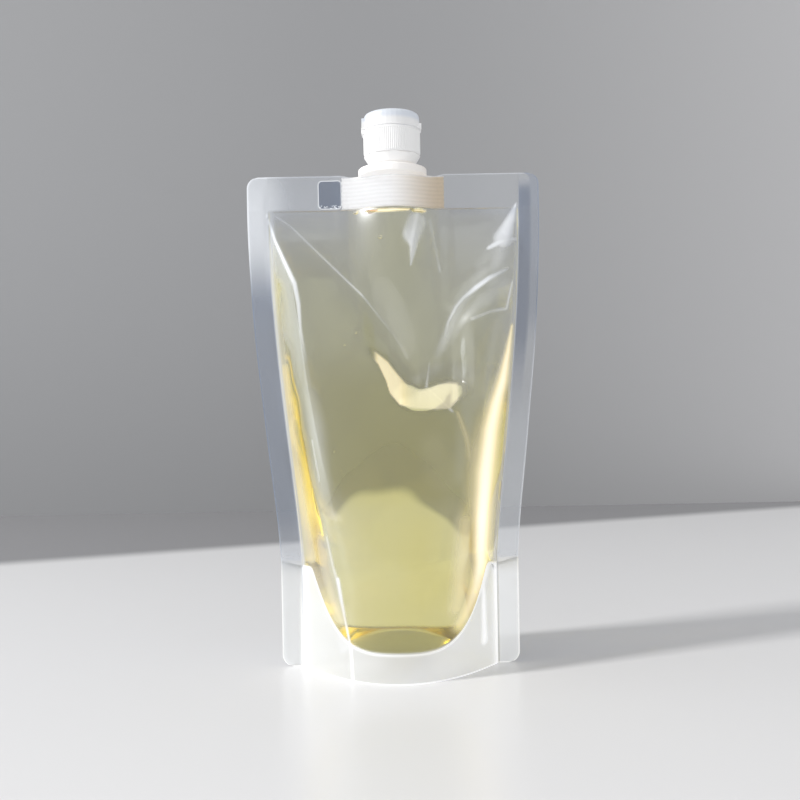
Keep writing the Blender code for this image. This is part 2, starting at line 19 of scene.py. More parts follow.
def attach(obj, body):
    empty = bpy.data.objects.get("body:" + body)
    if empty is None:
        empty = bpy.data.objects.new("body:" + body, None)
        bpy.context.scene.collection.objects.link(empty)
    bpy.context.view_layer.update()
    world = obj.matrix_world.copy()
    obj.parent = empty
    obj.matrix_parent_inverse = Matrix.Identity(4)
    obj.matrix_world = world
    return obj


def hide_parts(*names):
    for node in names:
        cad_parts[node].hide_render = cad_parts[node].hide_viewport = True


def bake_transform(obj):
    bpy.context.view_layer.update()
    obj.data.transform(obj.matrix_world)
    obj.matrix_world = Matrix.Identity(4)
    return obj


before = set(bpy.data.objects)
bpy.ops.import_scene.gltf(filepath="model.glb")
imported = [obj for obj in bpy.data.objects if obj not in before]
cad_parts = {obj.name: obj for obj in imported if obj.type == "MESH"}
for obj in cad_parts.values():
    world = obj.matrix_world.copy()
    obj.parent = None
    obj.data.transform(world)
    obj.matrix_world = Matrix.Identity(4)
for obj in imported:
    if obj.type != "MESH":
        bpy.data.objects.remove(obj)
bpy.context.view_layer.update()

# %% [markdown]
# ## Writing shader maths as plain expressions
#
# A material in Blender is a web of nodes. Sums between sockets need one Math node each, which
# is slow to write and hard to read. A small class that wraps a socket and knows `+`, `-` and
# `*` lets us write the sum itself, and the nodes follow from it. A second class holds the
# material: its method `node` adds any node, and the short methods below it save typing for
# the nodes that are needed again and again.


# %% A socket that does arithmetic
class Wire:
    """An output socket. Arithmetic on it adds Math nodes to its material."""

    def __init__(self, finish, socket):
        self.finish = finish
        self.socket = socket

    def math(self, operation, *values):
        settings = {"operation": operation}
        return self.finish.node("ShaderNodeMath", settings, dict(enumerate(values)))

    def __add__(self, other):
        return self.math("ADD", self, other)

    def __radd__(self, other):
        return self.math("ADD", other, self)

    def __sub__(self, other):
        return self.math("SUBTRACT", self, other)

    def __rsub__(self, other):
        return self.math("SUBTRACT", other, self)

    def __mul__(self, other):
        return self.math("MULTIPLY", self, other)

    def __rmul__(self, other):
        return self.math("MULTIPLY", other, self)


class Finish:
    """A material under construction."""

    def __init__(self, name):
        self.material = bpy.data.materials.new(name)
        self.material.use_nodes = True
        self.tree = self.material.node_tree
        self.tree.nodes.clear()
        self.last = self.tree.nodes.new("ShaderNodeOutputMaterial")

    def node(self, kind, settings=None, inputs=None, output=0):
        """Adds any node and returns one of its outputs. Inputs are wires or plain values."""
        made = self.tree.nodes.new(kind)
        for key, value in (settings or {}).items():
            setattr(made, key, value)
        for key, value in (inputs or {}).items():
            if isinstance(value, Wire):
                self.tree.links.new(value.socket, made.inputs[key])
            else:
                made.inputs[key].default_value = value
        return Wire(self, made.outputs[output])

    def place(self):
        """Where a point lies on its piece."""
        return self.node("ShaderNodeTexCoord", output="Object")

    def mark(self, name):
        """A value that each point of the mesh carries under this name."""
        return self.node("ShaderNodeAttribute", {"attribute_name": name}, output="Fac")

    def clamp(self, value):
        """Keeps a value between 0 and 1."""
        return self.node("ShaderNodeClamp", inputs={"Value": value})

    def mix(self, share, first, second, blend="MIX"):
        """The first colour where the share is 0, the second where it is 1."""
        colours = [value if isinstance(value, Wire) else (*value, 1) for value in (first, second)]
        settings = {"data_type": "RGBA", "blend_type": blend}
        ends = {0: share, 6: colours[0], 7: colours[1]}
        return self.node("ShaderNodeMix", settings, ends, output=2)

    def mix_shaders(self, share, first, second):
        return self.node("ShaderNodeMixShader", inputs={"Fac": share, 1: first, 2: second})

    def grain(self, place, scale, detail, strength, depth):
        """A fine speckle, and the bump that it gives the surface."""
        noise = {"Vector": place, "Scale": scale, "Detail": detail}
        speckle = self.node("ShaderNodeTexNoise", inputs=noise)
        relief = {"Height": speckle, "Strength": strength, "Distance": depth}
        return speckle, self.node("ShaderNodeBump", inputs=relief)

    def fade_along(self, place, axis, span):
        """Rises smoothly from 0 to 1 over a span of an axis."""
        ends = {0: place, 1: axis}
        along = self.node("ShaderNodeVectorMath", {"operation": "DOT_PRODUCT"}, ends, "Value")
        reach = {"Value": along, "From Min": span[0], "From Max": span[1]}
        smooth = {"interpolation_type": "SMOOTHSTEP"}
        return self.node("ShaderNodeMapRange", smooth, reach, "Result")

    def show(self, surface, volume=None):
        """Joins the finished shaders to the output."""
        self.tree.links.new(surface.socket, self.last.inputs["Surface"])
        if volume:
            self.tree.links.new(volume.socket, self.last.inputs["Volume"])
        return self.material


print("shader maths ready")

# %% [markdown]
# ## The room
#
# The pouch stands on a pale table with a grey wall a little over half a metre behind it. What
# is clear has no colour of its own: it shows the table and the wall, bent. So the room is part
# of the look, and both surfaces stay plain apart from painted light and shade: far behind, the
# table darkens into a painted shadow, and the wall is painted lighter towards the right.


# %% Table and wall
def add_object(name, data):
    made = bpy.data.objects.new(name, data)
    bpy.context.scene.collection.objects.link(made)
    return made


def plain_finish(name, near, far, axis, span, roughness, scale):
    """A plain surface with a fine, low grain, whose colour fades to another along an axis."""
    finish = Finish(name)
    place = finish.place()
    speckle, bump = finish.grain(place, scale, 4.0, 0.04, 0.0005)
    paint = {
        "Base Color": finish.mix(finish.fade_along(place, axis, span), near, far),
        "Roughness": 0.03 * speckle + roughness,
        "Normal": bump,
    }
    return finish.show(finish.node("ShaderNodeBsdfPrincipled", inputs=paint))


def flat_piece(name, corners, material):
    """One face of the room, which isn't a piece of the product."""
    mesh = bpy.data.meshes.new(name)
    mesh.from_pydata(corners, [], [range(len(corners))])
    mesh.materials.append(material)
    add_object(name, mesh)


WALL_DISTANCE = 0.56
ROOM_LEFT, ROOM_RIGHT = -1.5, 1.5
ROOM_FRONT, ROOM_TOP = -1.2, 1.2
TABLE_WHITE = (0.80, 0.80, 0.81)
# Painted shadow: far behind, the table's colour darkens to this, along a slanting line.
TABLE_SHADE = (0.28, 0.28, 0.29)
AWAY = (-0.35, 1, 0)
RIGHT = (1, 0, 0)
# Painted light: the wall's colour brightens from left to right.
WALL_LEFT = (0.300, 0.303, 0.312)
WALL_RIGHT = (0.60, 0.60, 0.61)
table_white = plain_finish(
    "table_white", TABLE_WHITE, TABLE_SHADE, AWAY, (0.360, 0.400), roughness=0.25, scale=900.0
)
wall_grey = plain_finish(
    "wall_grey", WALL_LEFT, WALL_RIGHT, RIGHT, (-0.1, 0.8), roughness=0.8, scale=300.0
)
near_edge = [(ROOM_LEFT, ROOM_FRONT, 0), (ROOM_RIGHT, ROOM_FRONT, 0)]
far_edge = [(ROOM_RIGHT, WALL_DISTANCE, 0), (ROOM_LEFT, WALL_DISTANCE, 0)]
high_edge = [(ROOM_LEFT, WALL_DISTANCE, ROOM_TOP), (ROOM_RIGHT, WALL_DISTANCE, ROOM_TOP)]
flat_piece("table", near_edge + far_edge, table_white)
flat_piece("wall", far_edge[::-1] + high_edge[::-1], wall_grey)
print("wall stands", WALL_DISTANCE, "m behind the pouch")

# %% [markdown]
# ## The light
#
# A lamp far to the left throws the long shadow and lights the milky welds. Two large, weak
# cards soften it from the front and from the left, and the world fills in the rest.


# %% Lamps
def lamp(name, place, target, size, watts, colour=(1.0, 1.0, 1.0), mirrored=True):
    """A rectangular lamp that looks at a point. Gloss may mirror it, the liquid never does."""
    data = bpy.data.lights.new(name, "AREA")
    data.shape = "RECTANGLE"
    data.size, data.size_y = size
    data.energy = watts
    data.color = colour
    made = add_object(name, data)
    made.location = place
    aim = Vector(target) - Vector(place)
    made.rotation_euler = aim.to_track_quat("-Z", "Y").to_euler()
    made.visible_glossy = mirrored
    made.visible_transmission = False


lamp("key", (-2.85, -0.96, 2.17), (0, 0, 0.1), (0.34, 0.34), 100.0, (1.0, 0.98, 0.95))
lamp("front_card", (0, -1.0, 0.30), (0, 0, 0.18), (0.30, 0.26), 0.85, mirrored=False)
lamp("left_card", (-0.75, -0.05, 0.28), (0, -0.05, 0.28), (0.5, 0.55), 1.4, (0.9, 0.95, 1.0))
world = bpy.data.worlds.new("room_light")
world.use_nodes = True
background = world.node_tree.nodes["Background"]
background.inputs["Color"].default_value = (0.97, 0.98, 1.0, 1.0)
background.inputs["Strength"].default_value = 0.60
bpy.context.scene.world = world
bpy.context.scene.view_settings.view_transform = "Standard"
print("lamps:", sorted(light.name for light in bpy.data.lights))

# %% [markdown]
# ## The camera
#
# The camera stands 430 mm in front of the pouch, 123 mm above the table, and is almost level.
# These numbers come from fitting the corners of the film, the rim of the cap and the bow of the
# bottom edge to the picture. The camera is also rolled by one degree.

# %% Camera
FOCAL_PIXELS = 962.5
FRAME_PIXELS = 800
CAMERA_PLACE = (0.0015, -0.430, 0.123)
CAMERA_DOWN = 0.0111
CAMERA_ROLL = 0.0186
camera_data = bpy.data.cameras.new("camera")
camera_data.sensor_width = 36.0
camera_data.lens = FOCAL_PIXELS * camera_data.sensor_width / FRAME_PIXELS
camera = add_object("camera", camera_data)
tilt = Matrix.Rotation(math.radians(90) - CAMERA_DOWN, 4, "X")
roll = Matrix.Rotation(-CAMERA_ROLL, 4, "Z")
camera.matrix_world = Matrix.Translation(CAMERA_PLACE) @ tilt @ roll
camera_data.clip_start = 0.01
bpy.context.scene.camera = camera
print("lens", round(camera_data.lens, 2), "mm")

# %% [markdown]
# ## The shape of the filled bag
#
# A film can bend but not stretch. Where the bag is deep, the film arches over the liquid and its
# side seams come closer together. So one curve, the depth at each height, gives the outline too.
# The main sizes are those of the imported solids, in metres. The dent, the side strips and the
# flatter middle of the back were fitted to what the picture shows through the liquid.

# %% Sizes of the bag
FILM_WIDTH = 0.130
FILM_TOP = 0.2185
SIDE_SEAL = 0.0095
TOP_SEAL = 0.015
CORNER_RADIUS = 0.005
BASE_HALF_DEPTH = 0.031
WALL_LEAN_POWER = 1.35
GUSSET_WELD = 0.0127
GUSSET_FOLD = 0.047
GUSSET_SAG = 0.005
BOAT_HALF_LENGTH = 0.0229
BOAT_HALF_THICKNESS = 0.0080
BOAT_REACH = 0.070
BOAT_TIP = 0.0003
BOAT_GAP = 0.0002
DENT_DEPTH = 0.0038
DENT_SHOULDER = 0.0105
BACK_FLATTER = 0.0045
RIDGE_BLEND = {-1: 0.0020, 1: 0.005}
POCKET_WIDTH = FILM_WIDTH - 2 * SIDE_SEAL
SEAL_EDGE = FILM_TOP - TOP_SEAL

# %% [markdown]
# The depth gives the width: the arch has to be as long as the flat film. There is no formula for
# its base, so the function halves an interval until the length fits.


# %% Depth and width at each height
def ease(value):
    """Smooth step from 0 to 1."""
    value = np.clip(value, 0.0, 1.0)
    return value * value * (3 - 2 * value)


def step(value, start, end):
    """Rises smoothly from 0 at the start to 1 at the end, which may also be the lower one."""
    return ease((value - start) / (end - start))


def band(value, start, full, last, end):
    """Rises from start to full, and falls again from last to end."""
    return step(value, start, full) * step(value, end, last)


def wedge_share(z):
    """0 at the fold of the gusset, 1 at the top weld."""
    return np.clip((z - GUSSET_FOLD) / (SEAL_EDGE - GUSSET_FOLD), 0.0, 1.0)


def bulge(z):
    """Half the depth of the bag in the middle of its width."""
    return BASE_HALF_DEPTH * (1 - wedge_share(z) ** WALL_LEAN_POWER)


def arc_length(base, rise):
    """Length of a parabolic arch over a base."""
    rise = np.maximum(rise, 1e-6)
    edge = np.hypot(base, 4 * rise)
    return edge / 2 + base**2 / (8 * rise) * np.arcsinh(4 * rise / base)


def pocket_half(z):
    """Half the distance between the side seals at a height, found by halving."""
    rise = bulge(np.asarray(z, float))
    low = np.full_like(rise, POCKET_WIDTH / 4)
    high = np.full_like(rise, POCKET_WIDTH)
    for _ in range(40):
        middle = (low + high) / 2
        too_long = arc_length(middle, rise) > POCKET_WIDTH
        high = np.where(too_long, middle, high)
        low = np.where(too_long, low, middle)
    return low / 2


print("pocket at the floor", round(float(2000 * pocket_half(0.0)), 1), "mm wide")

# %% [markdown]
# ## Creases
#
# Under the spout the front panel is pushed in between two creases that run from the top corners
# to a point below the middle, like a V. Below that point lies a short shelf that faces up. Such
# lines are drawn here as chains of points, and the distance to a chain shapes the film.

# %% Lines on the front panel
V_LEFT = [
    (-0.0585, 0.2030), (-0.0475, 0.1955), (-0.0330, 0.1815), (-0.0155, 0.1645),
    (-0.0010, 0.1480), (0.0060, 0.1275), (0.0105, 0.1235),
]
V_RIGHT = [
    (0.0105, 0.1235), (0.0150, 0.1290), (0.0218, 0.1490), (0.0262, 0.1622),
    (0.0365, 0.1838), (0.0535, 0.2035),
]
# Each ridge: its line, its height and its width.
FRONT_RIDGES = [
    ([(0.0530, 0.1803), (0.0330, 0.1687), (0.0250, 0.1600)], 0.0010, 0.0022),
    ([(0.0500, 0.1600), (0.0362, 0.1565), (0.0275, 0.1478), (0.0187, 0.1366)], 0.0005, 0.0030),
    ([(0.0120, 0.2010), (0.0070, 0.1790)], 0.0007, 0.0016),
    ([(0.0020, 0.1960), (0.0070, 0.1790)], -0.0006, 0.0020),
    ([(0.0150, 0.1990), (0.0200, 0.1760)], 0.0005, 0.0016),
]
# The foot and the brow of the shelf as lines of x and z, and its depth at each x.
SHELF_LOW = [
    (-0.0120, 0.1380), (-0.0076, 0.1334), (-0.0042, 0.1259), (-0.0029, 0.1211),
    (0.0012, 0.1160), (0.0066, 0.1143), (0.0168, 0.1136), (0.0229, 0.1138),
    (0.0263, 0.1170), (0.0330, 0.1210),
]
SHELF_HIGH = [
    (-0.0120, 0.1430), (-0.0036, 0.1361), (0.0005, 0.1306), (0.0053, 0.1252),
    (0.0100, 0.1232), (0.0141, 0.1239), (0.0182, 0.1256), (0.0229, 0.1267),
    (0.0273, 0.1262), (0.0330, 0.1250),
]
SHELF_DEPTH = [
    (-0.0140, 0.0), (-0.0090, 0.0050), (-0.0030, 0.0085), (0.0012, 0.0085),
    (0.0060, 0.0075), (0.0105, 0.0056), (0.0165, 0.0066), (0.0245, 0.0078),
    (0.0285, 0.0058), (0.0340, 0.0),
]
print("ridges beside the V:", len(FRONT_RIDGES))

# %% [markdown]
# Dents and ridges start from a distance. Inside the V it counts as negative, so one ramp serves
# both sides of the crease.


# %% Distance to a line
def line_distance(x, z, points):
    """Distance of every place (x, z) to a chain of points."""
    best = np.full(np.shape(x), 1.0)
    for (x0, z0), (x1, z1) in zip(points, points[1:]):
        dx, dz = x1 - x0, z1 - z0
        along = np.clip(((x - x0) * dx + (z - z0) * dz) / (dx * dx + dz * dz), 0, 1)
        best = np.minimum(best, np.hypot(x - x0 - along * dx, z - z0 - along * dz))
    return best


def outside_v(x, z, left, right):
    """Distance to the V, negative inside it."""
    west = np.interp(z, *np.array(left[::-1]).T[::-1])
    east = np.interp(z, *np.array(right).T[::-1])
    inside = (x > west) & (x < east) & (z > right[0][1])
    distance = line_distance(x, z, left + right[1:])
    return np.where(inside, -distance, distance)


def v_dent(x, z, left, right, depth, shoulder):
    """Depth of the pushed-in panel: an even slope round the V, flat inside it."""
    past = outside_v(x, z, left, right) / shoulder
    rounding = 0.12
    ramp = np.where(past < -rounding, 1.0, 1 - past)
    near_top = np.abs(past) < rounding
    ramp = np.where(near_top, 1 - (past + rounding) ** 2 / (4 * rounding), ramp)
    near_end = np.abs(past - 1) < rounding
    ramp = np.where(near_end, (past - 1 - rounding) ** 2 / (4 * rounding), ramp)
    ramp = np.where(past > 1 + rounding, 0.0, ramp)
    return depth * ramp * step(z, SEAL_EDGE, SEAL_EDGE - 0.050)


def shelf_edges(x):
    """Heights of the foot and the brow of the shelf at each x."""
    return np.interp(x, *np.array(SHELF_LOW).T), np.interp(x, *np.array(SHELF_HIGH).T)


def shelf_dent(x, z):
    """A steep shelf below the point of the V, above which the panel comes back out slowly."""
    low, high = shelf_edges(x)
    depth = np.interp(x, *np.array(SHELF_DEPTH).T)
    past = (z - low) / (high - low)
    rounding = 0.20
    ramp = np.clip(past, 0.0, 1.0)
    ramp = np.where(np.abs(past) < rounding, (past + rounding) ** 2 / (4 * rounding), ramp)
    near_top = np.abs(past - 1) < rounding
    ramp = np.where(near_top, 1 - (1 + rounding - past) ** 2 / (4 * rounding), ramp)
    return depth * ramp * step(z - high, 0.040, 0.0)


# %% [markdown]
# ## How far a panel stands out
#
# The arch of a panel starts as a parabola. The liquid presses it out into steep sides and a
# nearly flat face, the boat under the spout pushes it out, and the V and the shelf take it back
# in. Long, low waves from a few sines keep the film from looking machined.


# %% Arch of a panel
def boat_half(x):
    """Half the thickness of the boat, a lens with drawn-out tips."""
    inside = np.abs(x) < BOAT_HALF_LENGTH
    wave = np.cos(np.pi * np.clip(x / BOAT_HALF_LENGTH, -1, 1) / 2) ** 2
    return np.where(inside, BOAT_HALF_THICKNESS * wave, 0.0)


def waves(x, z, seed):
    """Low waves of a slack film, longer ones higher."""
    rng = np.random.default_rng(seed)
    total = np.zeros(np.shape(x))
    for _ in range(9):
        angle = rng.uniform(-0.9, 0.9)
        length = rng.uniform(0.014, 0.040)
        phase = rng.uniform(0, 2 * np.pi)
        run = x * math.cos(angle) + z * math.sin(angle)
        total += np.sin(2 * np.pi * run / length + phase) * length
    return total * 0.0016


# For each face and side: height, then width and slope of the steep side strip.
RIDGES = {
    (-1, -1): [
        (0.030, 0.0160, 1.15), (0.049, 0.0160, 1.30), (0.085, 0.0150, 1.30),
        (0.100, 0.0140, 1.30), (0.150, 0.0118, 1.20), (0.172, 0.0100, 1.12),
        (0.189, 0.0030, 1.15), (0.200, 0.0010, 1.00),
    ],
    (-1, 1): [
        (0.030, 0.0160, 1.30), (0.050, 0.0205, 0.95), (0.075, 0.0245, 0.85),
        (0.118, 0.0225, 0.75), (0.150, 0.0130, 0.85), (0.180, 0.0060, 0.95),
        (0.200, 0.0020, 0.80),
    ],
    (1, -1): [
        (0.050, 0.0100, 1.20), (0.100, 0.0120, 1.00), (0.150, 0.0150, 0.80),
        (0.172, 0.0150, 0.80), (0.190, 0.0070, 0.75),
    ],
    (1, 1): [
        (0.050, 0.0120, 1.20), (0.110, 0.0150, 1.05), (0.135, 0.0160, 0.75),
        (0.160, 0.0130, 0.62), (0.190, 0.0080, 0.45),
    ],
}


def soft_min(a, b, blend):
    """The lower of two heights, rounded where they cross."""
    return 0.5 * (a + b - np.sqrt((a - b) ** 2 + blend**2))


def filled_arch(x, z, face):
    """A panel pressed out by the liquid: steep sides up to a ridge, then nearly flat."""
    half = pocket_half(z)
    rise = bulge(z)
    if face > 0:
        rise = rise - BACK_FLATTER * band(z, 0.015, 0.045, 0.08, 0.16)
    to_seal = np.maximum(0.0, half - np.abs(x))
    width, slope = 0.0, 0.0
    for side in (-1, 1):
        heights, widths, slopes = np.array(RIDGES[face, side]).T
        here = np.where(x < 0, side < 0, side > 0)
        width = width + here * np.interp(z, heights, widths)
        slope = slope + here * np.interp(z, heights, slopes)
    crown = rise + (slope * width - rise) * (x / (half - width)) ** 2
    return np.maximum(0.0, soft_min(crown, slope * to_seal, RIDGE_BLEND[face]))


def arch(x, z, face):
    """How far the front (-1) or back (+1) panel stands out of the seal plane."""
    half = pocket_half(z)
    share = np.minimum(1.0, np.abs(x) / half)
    power = 2 + 1.2 * wedge_share(z) ** 2
    pressed = band(z, 0.012, 0.042, SEAL_EDGE - 0.012, SEAL_EDGE)
    near_boat = step(z, SEAL_EDGE - BOAT_REACH, SEAL_EDGE)
    past_tip = (np.abs(x) - BOAT_HALF_LENGTH - 0.0005) / 0.004
    seat = (np.maximum(boat_half(x), BOAT_TIP) + BOAT_GAP) * (1 - ease(past_tip))
    edge = 1 - share**8
    plain = bulge(z) * (1 - share**power)
    out = plain + (filled_arch(x, z, face) - plain) * pressed + seat * near_boat * edge
    if face < 0:
        out = out - v_dent(x, z, V_LEFT, V_RIGHT, DENT_DEPTH, DENT_SHOULDER) * edge
        out = out - shelf_dent(x, z) * edge
        for points, height, width in FRONT_RIDGES:
            out = out + height * np.exp(-((line_distance(x, z, points) / width) ** 2)) * edge
    loose = edge * band(z, 0.02, 0.05, SEAL_EDGE - 0.02, SEAL_EDGE)
    return np.maximum(0.0, out + waves(x, z, 5 + face) * loose)


stands_out = float(arch(np.array(0.0), np.array(0.05), -1))
print("front panel stands", round(1000 * stands_out, 1), "mm out")

# %% [markdown]
# ## Turning grids of points into meshes
#
# Every skin here is a grid: rows of heights, columns across the width. NumPy works out all the
# points at once, and one function joins them. Each point can carry marks, such as how much of
# it is welded, and the materials read these marks later.


# %% Grid to mesh
def grid_piece(name, points, material, marks=None, closed=False):
    """A smooth mesh from rows by columns of points. closed joins the last row to the first."""
    rows, columns = points.shape[:2]
    index = np.arange(rows * columns).reshape(rows, columns)
    if closed:
        index = np.vstack([index, index[:1]])
    faces = np.stack([index[:-1, :-1], index[:-1, 1:], index[1:, 1:], index[1:, :-1]], -1)
    mesh = bpy.data.meshes.new(name)
    mesh.from_pydata(points.reshape(-1, 3), [], faces.reshape(-1, 4).tolist())
    mesh.shade_smooth()
    for mark, values in (marks or {}).items():
        layer = mesh.attributes.new(mark, "FLOAT", "POINT")
        layer.data.foreach_set("value", np.ascontiguousarray(values, np.float32).ravel())
    mesh.materials.append(material)
    return add_object(name, mesh)


def keep_outward(piece):
    """Joins the points of a closed mesh that share a place, and turns its faces outward."""
    bm = bmesh.new()
    bm.from_mesh(piece.data)
    bmesh.ops.remove_doubles(bm, verts=bm.verts, dist=1e-6)
    bmesh.ops.dissolve_degenerate(bm, dist=1e-6, edges=bm.edges)
    bmesh.ops.recalc_face_normals(bm, faces=bm.faces)
    bm.to_mesh(piece.data)
    bm.free()


# %% [markdown]
# ## Painted highlights along the creases
#
# The glints, sheen and glow along the creases are painted onto the film. Every such line is a
# chain on the front panel, and every point of a chain has four numbers: x and z in millimetres,
# the strength, and the half width in millimetres. There are four kinds. SHINE holds the crisp
# painted glints, SHEEN soft painted sheen, TINT painted veils with the warm tint of the wash
# behind them, and GLOW painted glow where the bag would gather light.

# %% Shining lines
# Painted glints: crisp highlights along the creases and ridges.
SHINE = [
    [(-57.3, 204.6, 0, 0.2), (-56.7, 202.7, 0.75, 0.5), (-52.9, 190.5, 0.75, 0.7),
     (-48.4, 180.5, 0.75, 0.9), (-43.5, 170, 0.68, 1.1), (-41.8, 161, 0.6, 1),
     (-41, 149.9, 0.4, 0.8), (-38.9, 134.4, 0.12, 1.5), (-36.9, 119.1, 0.12, 2),
     (-36.6, 112, 0, 1)],
    [(-37, 103.6, 0, 0.2), (-36.7, 101.6, 0.3, 0.5), (-33.8, 84.3, 0.3, 0.7),
     (-33.5, 82.3, 0, 0.3)],
    [(-31.6, 62, 0, 0.2), (-31.2, 60, 0.45, 0.5), (-28.7, 48, 0.45, 0.8),
     (-26.2, 39.5, 0.45, 1), (-25.6, 37.6, 0, 0.5)],
    [(-26.9, 44, 0, 0.5), (-26.6, 42.5, 0.8, 1), (-25.2, 33.5, 0.8, 0.9),
     (-23.6, 25.4, 0.75, 0.6), (-21.2, 14, 0.7, 0.5), (-20.6, 0, 0.6, 0.5),
     (-20.5, -2, 0, 0.3)],
    [(-43.6, 45.9, 0, 0.2), (-43.6, 43.9, 0.6, 0.5), (-43.8, 20.5, 0.6, 0.8),
     (-43.8, 0, 0.6, 1), (-43.8, -2, 0, 0.5)],
    [(-58.3, 205.1, 0, 0.2), (-56.7, 204, 0.28, 0.4), (-46, 196.6, 0.28, 0.4),
     (-31.7, 182, 0.35, 0.5), (-14.2, 164.4, 0.42, 0.5), (-6.5, 154.5, 0.3, 0.5),
     (-0.1, 146.5, 0.18, 0.8), (5, 137, 0.18, 1.2), (5.9, 135.2, 0, 0.6)],
    [(54.1, 178.1, 0, 1), (48.4, 174.6, 0.4, 1), (41.4, 171, 0.75, 1.1),
     (35.7, 167.1, 0.75, 1.2), (29.9, 162.4, 0.5, 0.9), (26.9, 158.9, 0.5, 0.9),
     (23.2, 151.9, 0.35, 0.8), (20.8, 140.7, 0.2, 1.6), (20.4, 138.7, 0, 0.8)],
    [(55.2, 206, 0, 0.3), (54.5, 204.2, 0.75, 0.5), (52.3, 198, 0.75, 2.1),
     (49.9, 192, 0.72, 3.6), (48.6, 189, 0.6, 4.6), (48.2, 187.8, 0, 4.6)],
    [(40, 183.6, 0, 0.4), (42, 184.8, 0.62, 0.9), (46.5, 187.2, 0.7, 1.5),
     (51, 188.6, 0.6, 1.3), (55, 189, 0.4, 0.9), (56, 189.2, 0, 0.4)],
    [(52.8, 171.7, 0, 0.2), (52.3, 169.8, 0.6, 0.5), (50.8, 163.6, 0.6, 0.7),
     (49.3, 157.8, 0.45, 0.8), (41.9, 156.3, 0.3, 0.9), (33.6, 153.2, 0.3, 1.2),
     (31.7, 152.5, 0, 0.6)],
    [(12.6, 124.3, 0, 0.2), (14, 122.9, 0.35, 0.4), (19, 118.1, 0.35, 0.6),
     (23.7, 113.3, 0.35, 0.7), (25.1, 111.9, 0, 0.3)],
    [(11.5, 200.5, 0, 4), (10.2, 196.8, 0.42, 4.6), (8, 190.6, 0.55, 4.2),
     (8.7, 185.6, 0.55, 1.9), (7.3, 177.3, 0.5, 0.4), (7.2, 176.5, 0, 0.3)],
    [(16, 199, 0, 0.6), (16.3, 197, 0.2, 1.2), (18.2, 186, 0.2, 0.9),
     (20.1, 175, 0.28, 0.7), (20.4, 173, 0, 0.3)],
    [(15, 136.1, 0, 0.2), (14.7, 134.1, 0.28, 0.4), (13.2, 124.2, 0.28, 0.7),
     (12.9, 122.2, 0, 0.3)],
    [(52.3, 152.3, 0, 0.3), (51.9, 150.3, 0.6, 0.6), (50, 139.6, 0.65, 1.5),
     (47.2, 126.3, 0.7, 2.9), (43.9, 115.2, 0.75, 3.8), (41.4, 104.2, 0.75, 4.6),
     (39, 86.7, 0.72, 5.2), (37.2, 64.9, 0.7, 4.4), (36.2, 45, 0.62, 3.8),
     (33.8, 37, 0.4, 3.5), (31, 31, 0, 3)],
    [(36.6, 42, 0, 0.4), (36.6, 40, 0.3, 0.8), (36.6, 12, 0.3, 1.4), (36.6, 10, 0, 0.7)],
]
# Painted sheen: soft, milky highlights beside the creases.
SHEEN = [
    [(43.5, 178.1, 0, 2.2), (40, 174, 0.2, 4.5), (29, 161, 0.22, 3.8),
     (21.5, 144, 0.24, 3), (18, 137, 0.14, 3), (15.5, 131, 0, 1.5)],
    [(51.5, 173, 0, 4), (48.4, 168, 0.24, 5.5), (38, 160.5, 0.22, 4.5),
     (28.5, 151.8, 0.2, 3.5), (24, 143.5, 0.12, 3), (22, 138, 0, 2)],
    [(28.7, 158.9, 0, 2.5), (30, 153, 0.12, 5), (34, 135, 0.12, 5.5), (33, 115, 0.12, 6),
     (32.6, 107.8, 0, 3)],
    [(11.8, 180.4, 0, 3.5), (12, 172, 0.09, 7), (13, 130, 0.09, 5), (13.1, 124, 0, 2.5)],
    [(-38.6, 132, 0, 2.5), (-36.8, 122, 0.14, 3.2), (-34.6, 108, 0.19, 4),
     (-33.6, 95, 0.18, 4.2), (-32.2, 75, 0.17, 4.2), (-30.5, 52, 0.14, 4),
     (-30, 44, 0, 2)],
    [(45.8, 155.5, 0, 1.5), (45, 152, 0.14, 3), (41, 135, 0.14, 3.3), (39, 120, 0.14, 3.6),
     (38.4, 115.7, 0, 1.8)],
    [(27.3, 136, 0, 2.5), (28, 130, 0.12, 5), (31, 105, 0.12, 5.6), (28, 85, 0.12, 6),
     (26.9, 77.9, 0, 3)],
    [(49.9, 192, 0, 3), (48, 185, 0.26, 6), (44, 170, 0.22, 6), (40.5, 158, 0, 4)],
    [(21.5, 135.3, 0, 1.8), (18, 133, 0.12, 3.5), (9, 127, 0.12, 2.5),
     (6.5, 125.3, 0, 1.2)],
    [(49, 190, 0, 3), (44, 184, 0.16, 4), (38, 177, 0.16, 4), (32, 171, 0, 3)],
]
# Painted light: veils in the warm tint of the wash behind them.
TINT = [
    [(-54.2, 186, 0, 0.6), (-53.6, 178, 0.12, 1), (-52.5, 165, 0.15, 1.4),
     (-50.5, 148, 0.16, 2.2), (-48, 119, 0.17, 2.6), (-45.4, 92.5, 0.18, 2.9),
     (-42.6, 65.9, 0.28, 3.4), (-39.6, 50, 0.3, 3.6), (-38.5, 44, 0, 2)],
    [(-34.5, 66, 0, 3), (-33.2, 57, 0.26, 3.4), (-31, 43, 0.3, 3.8), (-28, 32, 0.3, 3.6),
     (-25, 25, 0.24, 3), (-24, 20, 0, 2.5)],
    [(24.8, 114.5, 0, 0.6), (26.2, 112.5, 0.35, 1), (30, 102, 0.38, 1.6),
     (31.5, 92, 0.3, 2.4), (33, 82, 0, 2.5)],
    [(37, 118, 0, 3), (36.5, 108, 0.2, 3.5), (34.5, 96, 0.34, 4.5), (33, 80, 0.32, 4.8),
     (32, 62, 0.3, 4.5), (31, 50, 0, 4)],
    [(13, 72, 0, 8), (13, 62, 0.1, 9), (12, 40, 0.1, 9), (11, 28, 0, 8)],
    [(14, 108, 0, 6), (16, 98, 0.09, 8), (18, 84, 0.09, 8), (18, 76, 0, 6)],
]
